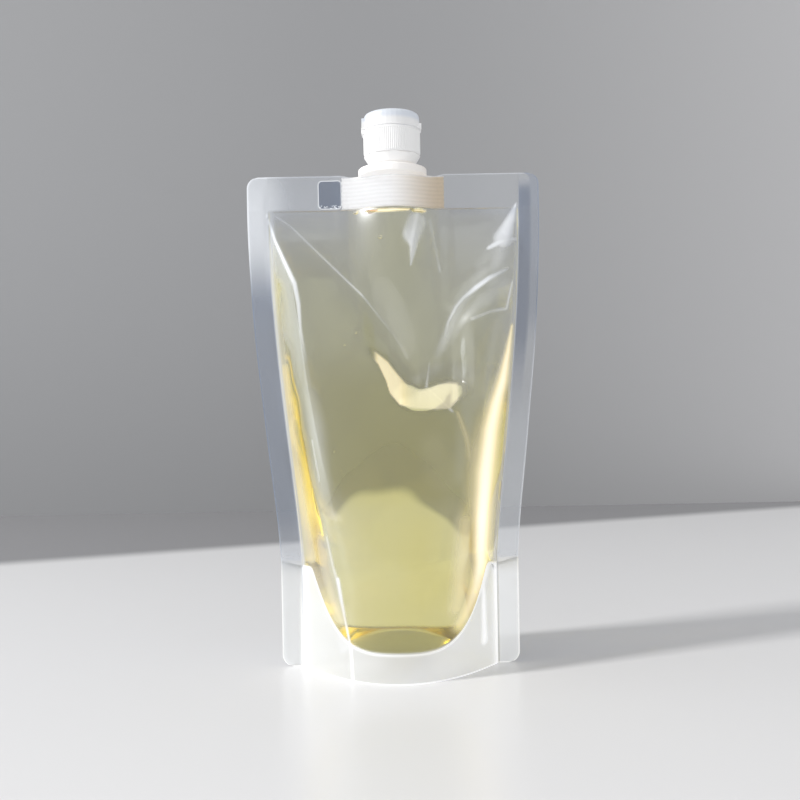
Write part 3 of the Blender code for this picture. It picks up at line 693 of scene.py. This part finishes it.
# Painted glow: places lit as if by light gathered in the liquid, and the rims of the air under the
# boat.
GLOW = [
    [(52.2, 152.3, 0, 0.4), (51.9, 150.3, 0.45, 0.8), (50, 139.6, 0.54, 1.8),
     (47.2, 126.3, 0.6, 3.2), (43.8, 115.2, 0.62, 4.2), (41.2, 104.2, 0.63, 5),
     (38.8, 86.7, 0.65, 5.8), (37, 64.9, 0.7, 5.2), (36, 46, 0.64, 4.8),
     (33.5, 37, 0.54, 4.6), (29.5, 29, 0.46, 4.2), (25.5, 22.5, 0.38, 3.6),
     (23.5, 18.5, 0, 2.5)],
    [(-17.2, 202.2, 0, 0.3), (-15.8, 202, 0.45, 0.6), (-14.4, 202.2, 0, 0.3)],
    [(-12.8, 202.9, 0, 0.3), (-11.5, 201.8, 0.55, 0.6), (-2, 201.4, 0.6, 0.7),
     (6.8, 201.8, 0.55, 0.6), (7.8, 202.9, 0, 0.3)],
    [(8.6, 202.6, 0, 0.3), (9.8, 201.8, 0.5, 0.6), (14, 201.6, 0.5, 0.7),
     (15.2, 202.6, 0, 0.3)],
    [(-40, 49, 0, 2.5), (-38, 43, 0.18, 4.5), (-34, 33, 0.18, 4.5), (-28.5, 24, 0.16, 4.2),
     (-25.7, 19.8, 0, 2.1)],
    [(29, 77, 0, 4), (29, 65, 0.26, 5.5), (28.4, 50, 0.33, 6), (26.6, 38, 0.33, 5.6),
     (24, 30, 0.28, 4.8), (21.5, 22, 0, 4)],
    [(-36, 79, 0, 2.5), (-33, 74, 0.15, 3.2), (-28.5, 70, 0.19, 3), (-25, 68.5, 0.12, 2.5),
     (-22, 67.5, 0, 2)],
]


def line_glow(x, z, chains, crisp=0.0):
    """How strongly chains mark each place. crisp gives wide strokes a flat top."""
    total = np.zeros(np.shape(x))
    for chain in chains:
        for (x0, z0, strong0, wide0), (x1, z1, strong1, wide1) in zip(chain, chain[1:]):
            dx, dz = (x1 - x0) / 1000, (z1 - z0) / 1000
            off_x, off_z = x - x0 / 1000, z - z0 / 1000
            along = np.clip((off_x * dx + off_z * dz) / (dx * dx + dz * dz), 0, 1)
            distance = np.hypot(off_x - along * dx, off_z - along * dz)
            width = (wide0 + (wide1 - wide0) * along) / 1000
            strength = strong0 + (strong1 - strong0) * along
            power = 2 + crisp * np.clip(700 * width, 0, 2)
            total = np.maximum(total, strength * np.exp(-((distance / width) ** power)))
    return total


print("chains:", [len(chains) for chains in (SHINE, SHEEN, TINT, GLOW)])

# %% [markdown]
# ## Clear film
#
# The film is a tenth of a millimetre thick, so it doesn't bend light: it lets it through and
# adds a gloss. A Mix Shader between Transparent and a shiny Principled does that. The share of
# the shiny side rises at grazing angles (Layer Weight), in the welds, where heat has left the
# film milky, and where light is painted: a highlight along the cut edge, sheen and glints.
# Its colour is pale, goes to dark blue where shade is painted, and turns warm where the light
# of the wash is painted; there an emission adds a painted glow. A small rounded square is
# pressed into the weld beside the spout: a pale outline round a darker field, with fine
# bubbles below.


# %% Film finish
# Pale film, painted shade in dark blue, painted warm light, and the colours of the painted glow.
PALE_FILM, PAINTED_SHADE_TONE, PAINTED_WARM_TONE = (0.93, 0.96, 1.0), (0.12, 0.170, 0.270), (0.97, 0.87, 0.60)
GLOW_AMBER, GLOW_WHITE, BLACK = (1.0, 0.82, 0.42), (1.0, 0.97, 0.93), (0.0, 0.0, 0.0)


def film_finish(name):
    finish = Finish(name)
    weld, rim, haze_and_sheen, shade, glow, tint, pressed, above_edge = [
        finish.mark(mark)
        for mark in ("weld", "rim", "haze_and_sheen", "shade", "glow", "tint", "pressed", "above_edge")
    ]
    gloss = finish.node("ShaderNodeLayerWeight", inputs={"Blend": 0.33}, output="Fresnel")

    edge = finish.clamp(1.6 - 5.0 * pressed.math("ABSOLUTE", pressed))
    inside = finish.clamp(-4.0 * pressed)
    place = finish.place()
    cells = {"Vector": place, "Scale": 1500.0}
    to_cell = finish.node("ShaderNodeTexVoronoi", inputs=cells, output="Distance")
    dots = finish.clamp(3.4 - 8.0 * to_cell)
    bubbled = inside * finish.clamp(2.2 - 1.1 * above_edge) * dots

    # Painted shade darkens the tone; painted glow and warm veils warm it.
    dark = 3.0 * shade + 0.9 * inside - 2.0 * bubbled - edge
    warm = finish.clamp(2.5 * glow + 4.0 * tint - 3.0 * weld)
    tone = finish.mix(warm, finish.mix(dark, PALE_FILM, PAINTED_SHADE_TONE), PAINTED_WARM_TONE)
    milky_and_painted = finish.clamp(2.0 * weld + 3.0 * haze_and_sheen + 3.0 * shade)
    whiter = finish.clamp(weld + 3.0 * glow - 1.2)
    # The emission is a painted glow: light the liquid would gather, where no lamp is.
    shiny = {
        "Base Color": tone,
        "Metallic": 0.85 - 0.85 * milky_and_painted,
        "Roughness": 0.20 + 0.15 * weld,
        "Emission Color": finish.mix(glow, BLACK, finish.mix(whiter, GLOW_AMBER, GLOW_WHITE)),
        "Emission Strength": 1.0,
    }
    surface = finish.node("ShaderNodeBsdfPrincipled", inputs=shiny)
    clear = finish.node("ShaderNodeBsdfTransparent", inputs={"Color": (0.985, 0.99, 0.995, 1.0)})
    share = 0.05 + 0.8 * gloss + 0.45 * weld + 0.5 * rim + haze_and_sheen + shade
    share = finish.clamp(share + 0.5 * edge + 0.16 * inside + 0.7 * bubbled)
    return finish.show(finish.mix_shaders(share, clear, surface))


clear_film = film_finish("clear_film_finish")
print("film finish:", len(clear_film.node_tree.nodes), "nodes")

# %% [markdown]
# ## The two panels
#
# Columns run from -2 to 2: between -1 and 1 lies the pocket, beyond that the side seals. Rows run
# from the floor to the top edge, which dips under the flange of the spout.

# %% Lines of the film
WELD_GAP = 0.00005
GUSSET_ROOM = 0.00025
HALF_FILM = 0.00008
SEAL_COLUMNS = 12


def film_columns(columns):
    seal = np.linspace(1, 2, SEAL_COLUMNS + 1)[1:]
    pocket = np.linspace(-1, 1, columns + 1)
    return np.concatenate([-seal[::-1], pocket, seal])


def corner_cut(z):
    """How far the rounded corners take the side edge in."""
    into = np.maximum(CORNER_RADIUS - z, z - (FILM_TOP - CORNER_RADIUS))
    into = np.clip(into, 0.0, CORNER_RADIUS)
    return CORNER_RADIUS - np.sqrt(CORNER_RADIUS**2 - into**2)


def film_x(column, z):
    half = pocket_half(z)
    share = np.abs(column)
    seal = (share - 1) * (SIDE_SEAL - corner_cut(z))
    return np.sign(column) * np.where(share <= 1, share * half, half + seal)


def gusset_line(x):
    """Height of the weld between gusset and panel: level in the middle, steep at the sides."""
    limit = GUSSET_FOLD - 0.002
    rise = GUSSET_WELD + 0.0323 * (x / 0.0384) ** 4
    return np.minimum(soft_min(rise, limit + 0.0005, 0.003), limit)


def top_edge(x):
    """Height of the top edge, which dips under the flange."""
    return FILM_TOP - 0.0013 * step(np.abs(x), 0.0242, 0.0162)


def seal_ripple(z):
    """A slow wave in the flat seals."""
    return 0.0004 * np.sin(2 * np.pi * z / 0.055 + 0.6)


print("gusset weld at the side", round(1000 * float(gusset_line(0.05)), 1), "mm high")

# %% [markdown]
# The marks tell the film finish what every point is like: `weld` for the welds, `rim` for the
# painted highlight along the cut edge, a haze mark for milky film with painted sheen and glints
# laid into it, `shade` for painted shade, `glow` and `tint` for painted warm light, and the
# distances to the pressed square. All of them are sums and products of smooth steps and bands
# across the panel.

# %% Marks on a panel
PRESSED_X, PRESSED_Z = -0.0281, 0.2101
PRESSED_HALF_X, PRESSED_HALF_Z, PRESSED_CORNER = 0.0051, 0.0062, 0.0016
RIM_WIDTH = 0.0006
WELD_LINE, SEAL_LINE = 0.0007, 0.0005


def pressed_mark(x, z):
    """Millimetres to the edge of the rounded square pressed in beside the boat, negative inside."""
    over_x = np.abs(x - PRESSED_X) - PRESSED_HALF_X + PRESSED_CORNER
    over_z = np.abs(z - PRESSED_Z) - PRESSED_HALF_Z + PRESSED_CORNER
    outside = np.hypot(np.maximum(over_x, 0), np.maximum(over_z, 0))
    return 1000 * (outside + np.minimum(np.maximum(over_x, over_z), 0) - PRESSED_CORNER)


def film_marks(column, x, z, top, face):
    """The marks of both panels, and no shade, glow or tint yet."""
    past_seal = np.abs(column) - 1
    above_line = z - gusset_line(x)
    pocket = past_seal < 0
    under_gusset = step(above_line, 0.0006, -0.0006) * pocket
    sides = step(past_seal, 0, 0.04)
    above = step(z, SEAL_EDGE - 0.0005, SEAL_EDGE + 0.0005)
    low = step(z, GUSSET_FOLD + 0.008, GUSSET_FOLD - 0.008)
    to_edge = np.minimum(np.minimum((1 - past_seal) * SIDE_SEAL, top - z), z)
    # The weld line and the inner edge of the side seals: a whiter seam with a painted highlight.
    line = np.exp(-((above_line / WELD_LINE) ** 2)) * pocket
    side_line = np.exp(-((past_seal * SIDE_SEAL / SEAL_LINE) ** 2))
    line = np.maximum(line, 0.6 * side_line * (1 - above))
    # Painted reflection: a bluish-white veil over the top left.
    pale = sides * (1 - above) + above * (0.22 + 0.78 * step(x, -0.042, -0.062))
    top_left = (x < 0) * np.exp(-(((z - 0.198) / 0.028) ** 2)) * pale
    haze_and_sheen = 0.55 * line + 0.50 * top_left + 0.04 * above
    # Painted light on the lower right seal.
    haze_and_sheen = haze_and_sheen + 0.13 * sides * (x > 0) * band(z, 0.04, 0.06, 0.10, 0.13)
    marks = {
        "weld": np.maximum(under_gusset, sides * (0.06 + 0.75 * low)),
        # Painted highlight along the cut edge.
        "rim": step(to_edge, RIM_WIDTH, 0),
        "haze_and_sheen": haze_and_sheen,
        "shade": 0 * z,
        "glow": 0 * z,
        "tint": 0 * z,
        "pressed": 9 + 0 * z,
        "above_edge": 1000 * (z - (PRESSED_Z - PRESSED_HALF_Z)),
    }
    if face < 0:
        add_front_marks(marks, column, x, z, under_gusset, sides, above)
    return marks


def add_front_marks(marks, column, x, z, under_gusset, sides, above):
    """Painted veils, shade, glints and glow that only the front panel has."""
    pocket = np.abs(column) < 1
    free = 1 - under_gusset

    # Painted shade: inner band of the right seal, left seal, left top corner of the pocket, weld
    # beside the boat, right top corner, outer band of the right seal.
    inner_band = sides * step(np.abs(column), 1.62, 1.56)
    corner = band(z, 0.186, 0.198, SEAL_EDGE - 0.0005, SEAL_EDGE + 0.0005) * (1 - sides)
    shade = 0.33 * inner_band * (x > 0) * band(z, 0.10, 0.15, 0.21, 0.22)
    shade = shade + 0.28 * sides * (x < 0) * band(z, 0.03, 0.07, 0.16, 0.19)
    shade = shade + 0.10 * corner * step(x, -0.018, -0.024)
    shade = shade + 0.10 * above * band(x, -0.058, -0.046, -0.0235, -0.0225)
    shade = shade + 0.10 * corner * step(z, 0.198, 0.202) * step(x, 0.022, 0.026)
    shade = shade + 0.25 * (sides - inner_band) * (x > 0) * step(z, 0.13, 0.16)

    # Painted glow on the shelf below the V, as if it caught light, most of it at its left end.
    low, high = shelf_edges(x)
    on_shelf = band(x, -0.0105, -0.0075, 0.0260, 0.0285)
    on_shelf = on_shelf * step(z - low, 0, 0.0010) * step(z - high, 0, -0.0016)
    on_shelf = on_shelf * (0.24 + 0.26 * step(x, 0.008, 0))
    glow = np.maximum(line_glow(x, z, GLOW) * free * pocket, on_shelf)
    tint = line_glow(x, z, TINT) * free * pocket

    # A thin veil of painted sheen lies on the whole face, thinner over the dark part of the liquid.
    thick = band(z, 0.070, 0.082, 0.120, 0.150)
    veil = (0.085 - 0.060 * thick) * (0.3 + 0.7 * step(z, 0.020, 0.026)) * pocket * free
    sheen = line_glow(x, z, SHEEN) * free
    shine = line_glow(x, z, SHINE, crisp=1.0)
    # Glints, sheen, veils and glow are all painted light, laid into the haze mark.
    for milky_and_painted in (shine, veil, sheen, tint, np.minimum(1.3 * glow, 0.8)):
        marks["haze_and_sheen"] = np.maximum(marks["haze_and_sheen"], milky_and_painted)

    # Painted glow on the bottom weld, most at its lower right.
    lower_right = step(x, -0.045, 0.025) * step(x - z, -0.020, 0.010)
    lit_weld = marks["weld"] * (z < GUSSET_FOLD) * (0.20 + 0.28 * lower_right)
    # Painted shade: on the left, the warm veils also darken the film.
    marks["shade"] = shade + tint * (x < 0)
    marks["tint"] = tint * np.where(x < 0, 0.4, 1.0)
    marks["glow"] = glow + lit_weld
    marks["pressed"] = pressed_mark(x, z)

# %% [markdown]
# Now the panels themselves, with their rows a little closer together at middle height, where the
# shelf lies.

# %% Panels
PANEL_COLUMNS, PANEL_ROWS = 230, 360


def panel(name, face, node):
    """The front (-1) or back (+1) panel as a fine sheet."""
    share_z = np.linspace(0, 1, PANEL_ROWS)
    crowd = share_z + 0.012 * np.sin(2 * np.pi * share_z)
    column = film_columns(PANEL_COLUMNS)[None, :] + 0 * crowd[:, None]
    top = top_edge(np.clip(column, -1, 1) * POCKET_WIDTH / 2)
    z = crowd[:, None] * top
    x = film_x(column, z)
    gap = WELD_GAP + GUSSET_ROOM * step(z, GUSSET_FOLD + 0.031, GUSSET_FOLD + 0.001)
    out = arch(x, np.minimum(z, SEAL_EDGE), face) + gap + HALF_FILM
    flat = step(np.abs(column), 1, 1.3) * step(z, GUSSET_FOLD, GUSSET_FOLD + 0.02)
    y = face * out + seal_ripple(z) * flat
    marks = film_marks(column, x, z, top, face)
    piece = grid_piece(name, np.stack([x, y, z], -1), clear_film, marks)
    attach(piece, "pouch")
    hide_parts(node)
    print(name, len(piece.data.polygons), "faces")


panel("front_panel", -1, "front_film")
panel("back_panel", 1, "back_film")

# %% [markdown]
# ## The bottom gusset
#
# One film closes the bag below. It is welded to both panels up to the U-shaped line and hangs
# between them like a hammock.


# %% Gusset
GUSSET_COLUMNS = 150
GUSSET_GAP = 0.0001


def gusset_sag(column):
    """How far the hammock hangs in the middle of its depth."""
    share = np.minimum(np.abs(column), 1.0)
    return GUSSET_SAG * (1 - share**2) * (1 + 3 * share**2)


def gusset_rows(column):
    """Outline of the gusset at every column: front weld, across, back weld."""
    join = gusset_line(film_x(column, GUSSET_FOLD + 0 * column))
    wide = np.abs(column) > 1
    join = np.where(wide, join + (GUSSET_FOLD - join) * ease(np.abs(column) - 1), join)
    x_join = film_x(column, join)
    front = arch(x_join, join, -1) + GUSSET_GAP
    back = arch(x_join, join, 1) + GUSSET_GAP
    sag = gusset_sag(column)
    up_the_weld = np.linspace(0, 1, 12)[:-1]
    welds = {-1: [], 1: []}
    for face, rows in welds.items():
        for lift in up_the_weld:
            z = join * lift
            x = film_x(column, z)
            rows.append((x, face * (arch(x, z, face) + GUSSET_GAP), z))
    hammock = []
    for place in np.linspace(-1, 1, 41):
        y = (back * (1 + place) - front * (1 - place)) / 2
        hammock.append((x_join, y, join - sag * (1 - place**2)))
    outline = welds[-1] + hammock + welds[1][::-1]
    return np.array([np.stack(row, -1) for row in outline])


gusset_points = gusset_rows(film_columns(GUSSET_COLUMNS))
no_mark = np.zeros(gusset_points.shape[:2])
marks = {mark: no_mark for mark in ("weld", "rim", "haze_and_sheen", "shade", "glow", "tint")}
marks["pressed"] = 9 + no_mark
gusset = grid_piece("bottom_gusset", gusset_points, clear_film, marks)
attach(gusset, "pouch")
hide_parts("bottom_gusset_film")
print("gusset", len(gusset.data.polygons), "faces")

# %% [markdown]
# ## The wash
#
# The liquid is a closed solid a hair inside the films. Its finish is clear glass with the
# refraction of soapy water, and a Volume Absorption that takes out blue first: thin places look
# grey and thick ones olive. For rays on their way to a lamp a tinted Transparent stands in, so
# that light still reaches the table behind. After three reflections a clear one takes over,
# where light would otherwise get lost inside the liquid.


# %% Liquid finish
REFLECTIONS_SHOWN = 2.5
WASH_COLOUR, WASH_DENSITY = (0.980, 0.915, 0.17, 1.0), 26.0
WASH_SHADOW = (0.75, 0.66, 0.20, 1.0)


def liquid_finish():
    finish = Finish("wash_finish")
    water = {"Base Color": (1, 1, 1, 1), "Roughness": 0.0, "IOR": 1.35, "Transmission Weight": 1.0}
    surface = finish.node("ShaderNodeBsdfPrincipled", inputs=water)
    tinted = finish.node("ShaderNodeBsdfTransparent", inputs={"Color": WASH_SHADOW})
    clear = finish.node("ShaderNodeBsdfTransparent")
    to_lamp = finish.node("ShaderNodeLightPath", output="Is Shadow Ray")
    turns = finish.node("ShaderNodeLightPath", output="Glossy Depth")
    lost = turns.math("GREATER_THAN", turns, REFLECTIONS_SHOWN)
    mixed = finish.mix_shaders(lost, finish.mix_shaders(to_lamp, surface, tinted), clear)
    tint = {"Color": WASH_COLOUR, "Density": WASH_DENSITY}
    return finish.show(mixed, finish.node("ShaderNodeVolumeAbsorption", inputs=tint))


wash_finish = liquid_finish()
print("wash density", WASH_DENSITY)

# %% [markdown]
# The liquid takes its points from the same `arch` as the panels, so it follows every dent.

# %% Liquid
WASH_COLUMNS, WASH_LEVELS, WASH_ACROSS = 171, 210, 42
WASH_GAP_BELOW, WASH_GAP_ABOVE = 0.0003, 0.0004


def liquid_points(columns, levels, across):
    """Closed outlines for every column: down the front, over the gusset, up the back."""
    join = gusset_line(film_x(columns, GUSSET_FOLD + 0 * columns)) + WASH_GAP_BELOW
    x_join = film_x(columns, join)
    near, far = arch(x_join, join, -1), arch(x_join, join, 1)
    sag = gusset_sag(columns)
    top = SEAL_EDGE - WASH_GAP_ABOVE
    front, back, floor = [], [], []
    for lift in np.linspace(0, 1, levels):
        z = join + (top - join) * lift
        x = film_x(columns, z)
        front.append((x, -arch(x, z, -1), z))
        back.append((x, arch(x, z, 1), z))
    for place in np.linspace(-1, 1, across)[1:-1]:
        y = (far * (1 + place) - near * (1 - place)) / 2
        floor.append((x_join, y, join - sag * (1 - place**2)))
    outline = front[::-1] + floor + back
    return np.array([np.stack(row, -1) for row in outline])


wash_points = liquid_points(np.linspace(-1, 1, WASH_COLUMNS), WASH_LEVELS, WASH_ACROSS)
wash = grid_piece("wash", wash_points, wash_finish, closed=True)
keep_outward(wash)
print("wash", len(wash.data.polygons), "faces")

# %% [markdown]
# ## Air bubbles
#
# A bubble in a liquid is a hole in it. So each bubble is a small sphere, turned inside out and
# joined to the liquid's own mesh: light that meets it leaves the liquid, as it does in life.
# Three flat pockets of air lie along the top weld.

# %% Bubbles
# x, z and radius of each bubble; x, half length and half height of each pocket of air.
BUBBLES = [
    (-0.0058, 0.1898, 0.0009), (-0.0093, 0.1815, 0.0004), (-0.0100, 0.1745, 0.00025),
    (-0.0170, 0.1478, 0.0005), (-0.0220, 0.1425, 0.0004), (-0.0270, 0.0970, 0.0004),
    (-0.0240, 0.0890, 0.0003), (0.0160, 0.1760, 0.0004), (-0.0150, 0.1490, 0.0002),
    (-0.0190, 0.1510, 0.00025), (-0.0145, 0.1560, 0.0002), (-0.0235, 0.0855, 0.00025),
]
AIR_POCKETS = [(-0.0165, 0.0014, 0.0007), (-0.0030, 0.0096, 0.0009), (0.0112, 0.0036, 0.0009)]
POCKET_HALF_DEPTH = 0.0016


def front_depth(x, z):
    return float(arch(np.array(x), np.array(z), -1))


def add_bubble(bm, place, size):
    """A sphere or flattened sphere with its faces turned inward."""
    found = bmesh.ops.create_icosphere(bm, subdivisions=3, radius=1.0)["verts"]
    for vert in found:
        vert.co = Vector(place) + Vector([c * s for c, s in zip(vert.co, size)])
    faces = {face for vert in found for face in vert.link_faces}
    bmesh.ops.reverse_faces(bm, faces=list(faces))
    for face in faces:
        face.smooth = True


bm = bmesh.new()
bm.from_mesh(wash.data)
for x, z, radius in BUBBLES:
    add_bubble(bm, (x, 1.25 * radius - front_depth(x, z), z), (radius,) * 3)
for x, half, tall in AIR_POCKETS:
    y = 0.0026 - front_depth(x, SEAL_EDGE - 0.0022)
    add_bubble(bm, (x, y, SEAL_EDGE - 0.0018), (half, POCKET_HALF_DEPTH, tall))
bm.to_mesh(wash.data)
bm.free()
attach(wash, "pouch")
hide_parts("contents")
print("bubbles", len(BUBBLES), "pockets of air", len(AIR_POCKETS))

# %% [markdown]
# ## Moulded plastic
#
# Spout, ring, cap and lid are moulded from natural or white plastic that lets a little light
# through. A faint emission of the plastic's own colour, a painted glow, stands in for that
# softness. The colour fades along an axis to a painted shade, and a fine bump keeps the gloss
# from being perfect. The lines along the boat of the spout are painted shade in its grooves,
# drawn by a sine that darkens the colour.


# %% Plastic finish
def plastic_finish(name, near, far, axis, span, roughness, glow_strength, clearness=0.0, ribs=None):
    """Moulded plastic with a faint painted glow. ribs: from and to which height, and pitch."""
    finish = Finish(name)
    place = finish.place()
    speckle, bump = finish.grain(place, 700.0, 3.0, 0.15, 0.0002)
    reach = finish.fade_along(place, axis, span)
    if ribs:
        low, high, pitch = ribs
        height = finish.node("ShaderNodeSeparateXYZ", inputs={0: place}, output="Z")
        within = height.math("LESS_THAN", height, high)
        # Painted shade in the grooves, drawn by a sine; above the ribs the shade and the glow are
        # weaker.
        reach = reach * (0.3 + 0.7 * within)
        turns = (height - low) * (2 * math.pi / pitch)
        lines = within * (0.5 + 0.5 * turns.math("SINE", turns))
        colour = finish.mix(lines, finish.mix(reach, near, far), GROOVE_SHADE, "MULTIPLY")
        glow_colour = finish.mix(0.45 - 0.45 * within, colour, BLACK)
    else:
        colour = glow_colour = finish.mix(reach, near, far)
    paint = {
        "Base Color": colour,
        "Roughness": 0.08 * speckle + roughness,
        "Transmission Weight": clearness,
        # Painted glow: an emission of the plastic's own colour, dimmer above the ribs.
        "Emission Color": glow_colour,
        "Emission Strength": glow_strength,
        "Normal": bump,
    }
    return finish.show(finish.node("ShaderNodeBsdfPrincipled", inputs=paint))


UP = (0, 0, 1)
# Painted shade: spout and cap darken towards the right, the lid goes bluish towards its top.
WHITE, SHADED_WHITE, SHADED_BLUISH = (0.84, 0.84, 0.84), (0.79, 0.79, 0.785), (0.70, 0.735, 0.79)
NATURAL, SHADED_BEIGE, GROOVE_SHADE = (0.86, 0.843, 0.829), (0.48, 0.385, 0.26), (0.93, 0.93, 0.925)
BOAT_TOP = 0.2172
RIB_PITCH = (0.2175 - SEAL_EDGE) / 8
spout_ribs = (SEAL_EDGE, BOAT_TOP, RIB_PITCH)
spout_white = plastic_finish(
    "spout_finish", NATURAL, SHADED_BEIGE, RIGHT, (-0.004, 0.024), 0.35, 0.41, ribs=spout_ribs
)
cap_white = plastic_finish("cap_finish", WHITE, SHADED_WHITE, RIGHT, (0.0, 0.012), 0.32, 0.14)
lid_milky = plastic_finish("lid_finish", WHITE, SHADED_BLUISH, UP, (0.2405, 0.2425), 0.30, 0.14, 0.2)
finishes = {"spout": spout_white, "tamper_ring": cap_white, "cap_base": cap_white}
finishes["flip_lid"] = lid_milky
for node, material in finishes.items():
    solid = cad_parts[node]
    solid.data.materials.clear()
    solid.data.materials.append(material)
    print(node, "wears", material.name)

# %% [markdown]
# ## Thread and hinge
#
# Cap and neck carry one screw thread each: a ridge wound along a helix, half a pitch apart, so
# that the cap climbs 3 mm with each turn and the ridges never meet. The lid's living hinge is a
# thin web across the line between cap and lid.

# %% Thread
PITCH = 0.003
THREAD_BOTTOM = 0.2287
NECK_RADIUS, NECK_CREST = 0.0092, 0.0099
CAP_BORE, CAP_CREST = 0.0105, 0.0098
THREAD_ROOT = 0.0001


def thread(name, root, crest, bottom, turns, material, body):
    """A ridge along a helix, with its ends run out into the wall. Offsets are in millimetres."""
    angle = np.linspace(0, 2 * np.pi * turns, int(72 * turns) + 1)
    fade = ease(angle / 0.6) * ease((angle[-1] - angle) / 0.6)
    outline = [(root, -0.55), (crest, -0.22), (crest, 0.22), (root, 0.55)]
    rows = []
    for radius, offset in outline:
        reach = root + (radius - root) * fade
        z = bottom + PITCH * angle / (2 * np.pi) + 0.001 * offset * (0.05 + 0.95 * fade)
        rows.append(np.stack([reach * np.cos(angle), reach * np.sin(angle), z], -1))
    ridge = grid_piece(name, np.array(rows), material, closed=True)
    keep_outward(ridge)
    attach(ridge, body)
    print(name, len(ridge.data.polygons), "faces")


neck_root, cap_root = NECK_RADIUS - THREAD_ROOT, CAP_BORE + THREAD_ROOT
cap_start = THREAD_BOTTOM - PITCH / 2
thread(
    "neck_thread", neck_root, NECK_CREST, THREAD_BOTTOM, 2.0, spout_white, "pouch"
)
thread("cap_thread", cap_root, CAP_CREST, cap_start, 1.6, cap_white, "cap")

# %% [markdown]
# The web is a thin strip across the hinge line, in thirteen steps of height.

# %% Hinge web
HINGE_X, HINGE_Z = -0.0133, 0.23795
WEB_OUTSIDE, WEB_INSIDE = HINGE_X - 0.00016, HINGE_X + 0.00005
WEB_HALF_HEIGHT, WEB_HALF_WIDTH = 0.0011, 0.0029
heights = np.linspace(-WEB_HALF_HEIGHT, WEB_HALF_HEIGHT, 13)
skin = [(WEB_OUTSIDE, h) for h in heights] + [(WEB_INSIDE, h) for h in heights[::-1]]
across = np.linspace(-WEB_HALF_WIDTH, WEB_HALF_WIDTH, 7)
web_points = np.array([[(x, y, HINGE_Z + h) for y in across] for x, h in skin])
web = grid_piece("hinge_web", web_points, cap_white, closed=True)
bm = bmesh.new()
bm.from_mesh(web.data)
bmesh.ops.holes_fill(bm, edges=[edge for edge in bm.edges if edge.is_boundary], sides=0)
bmesh.ops.recalc_face_normals(bm, faces=bm.faces)
bm.to_mesh(web.data)
bm.free()
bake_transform(web)
print("hinge web", len(web.data.polygons), "faces")
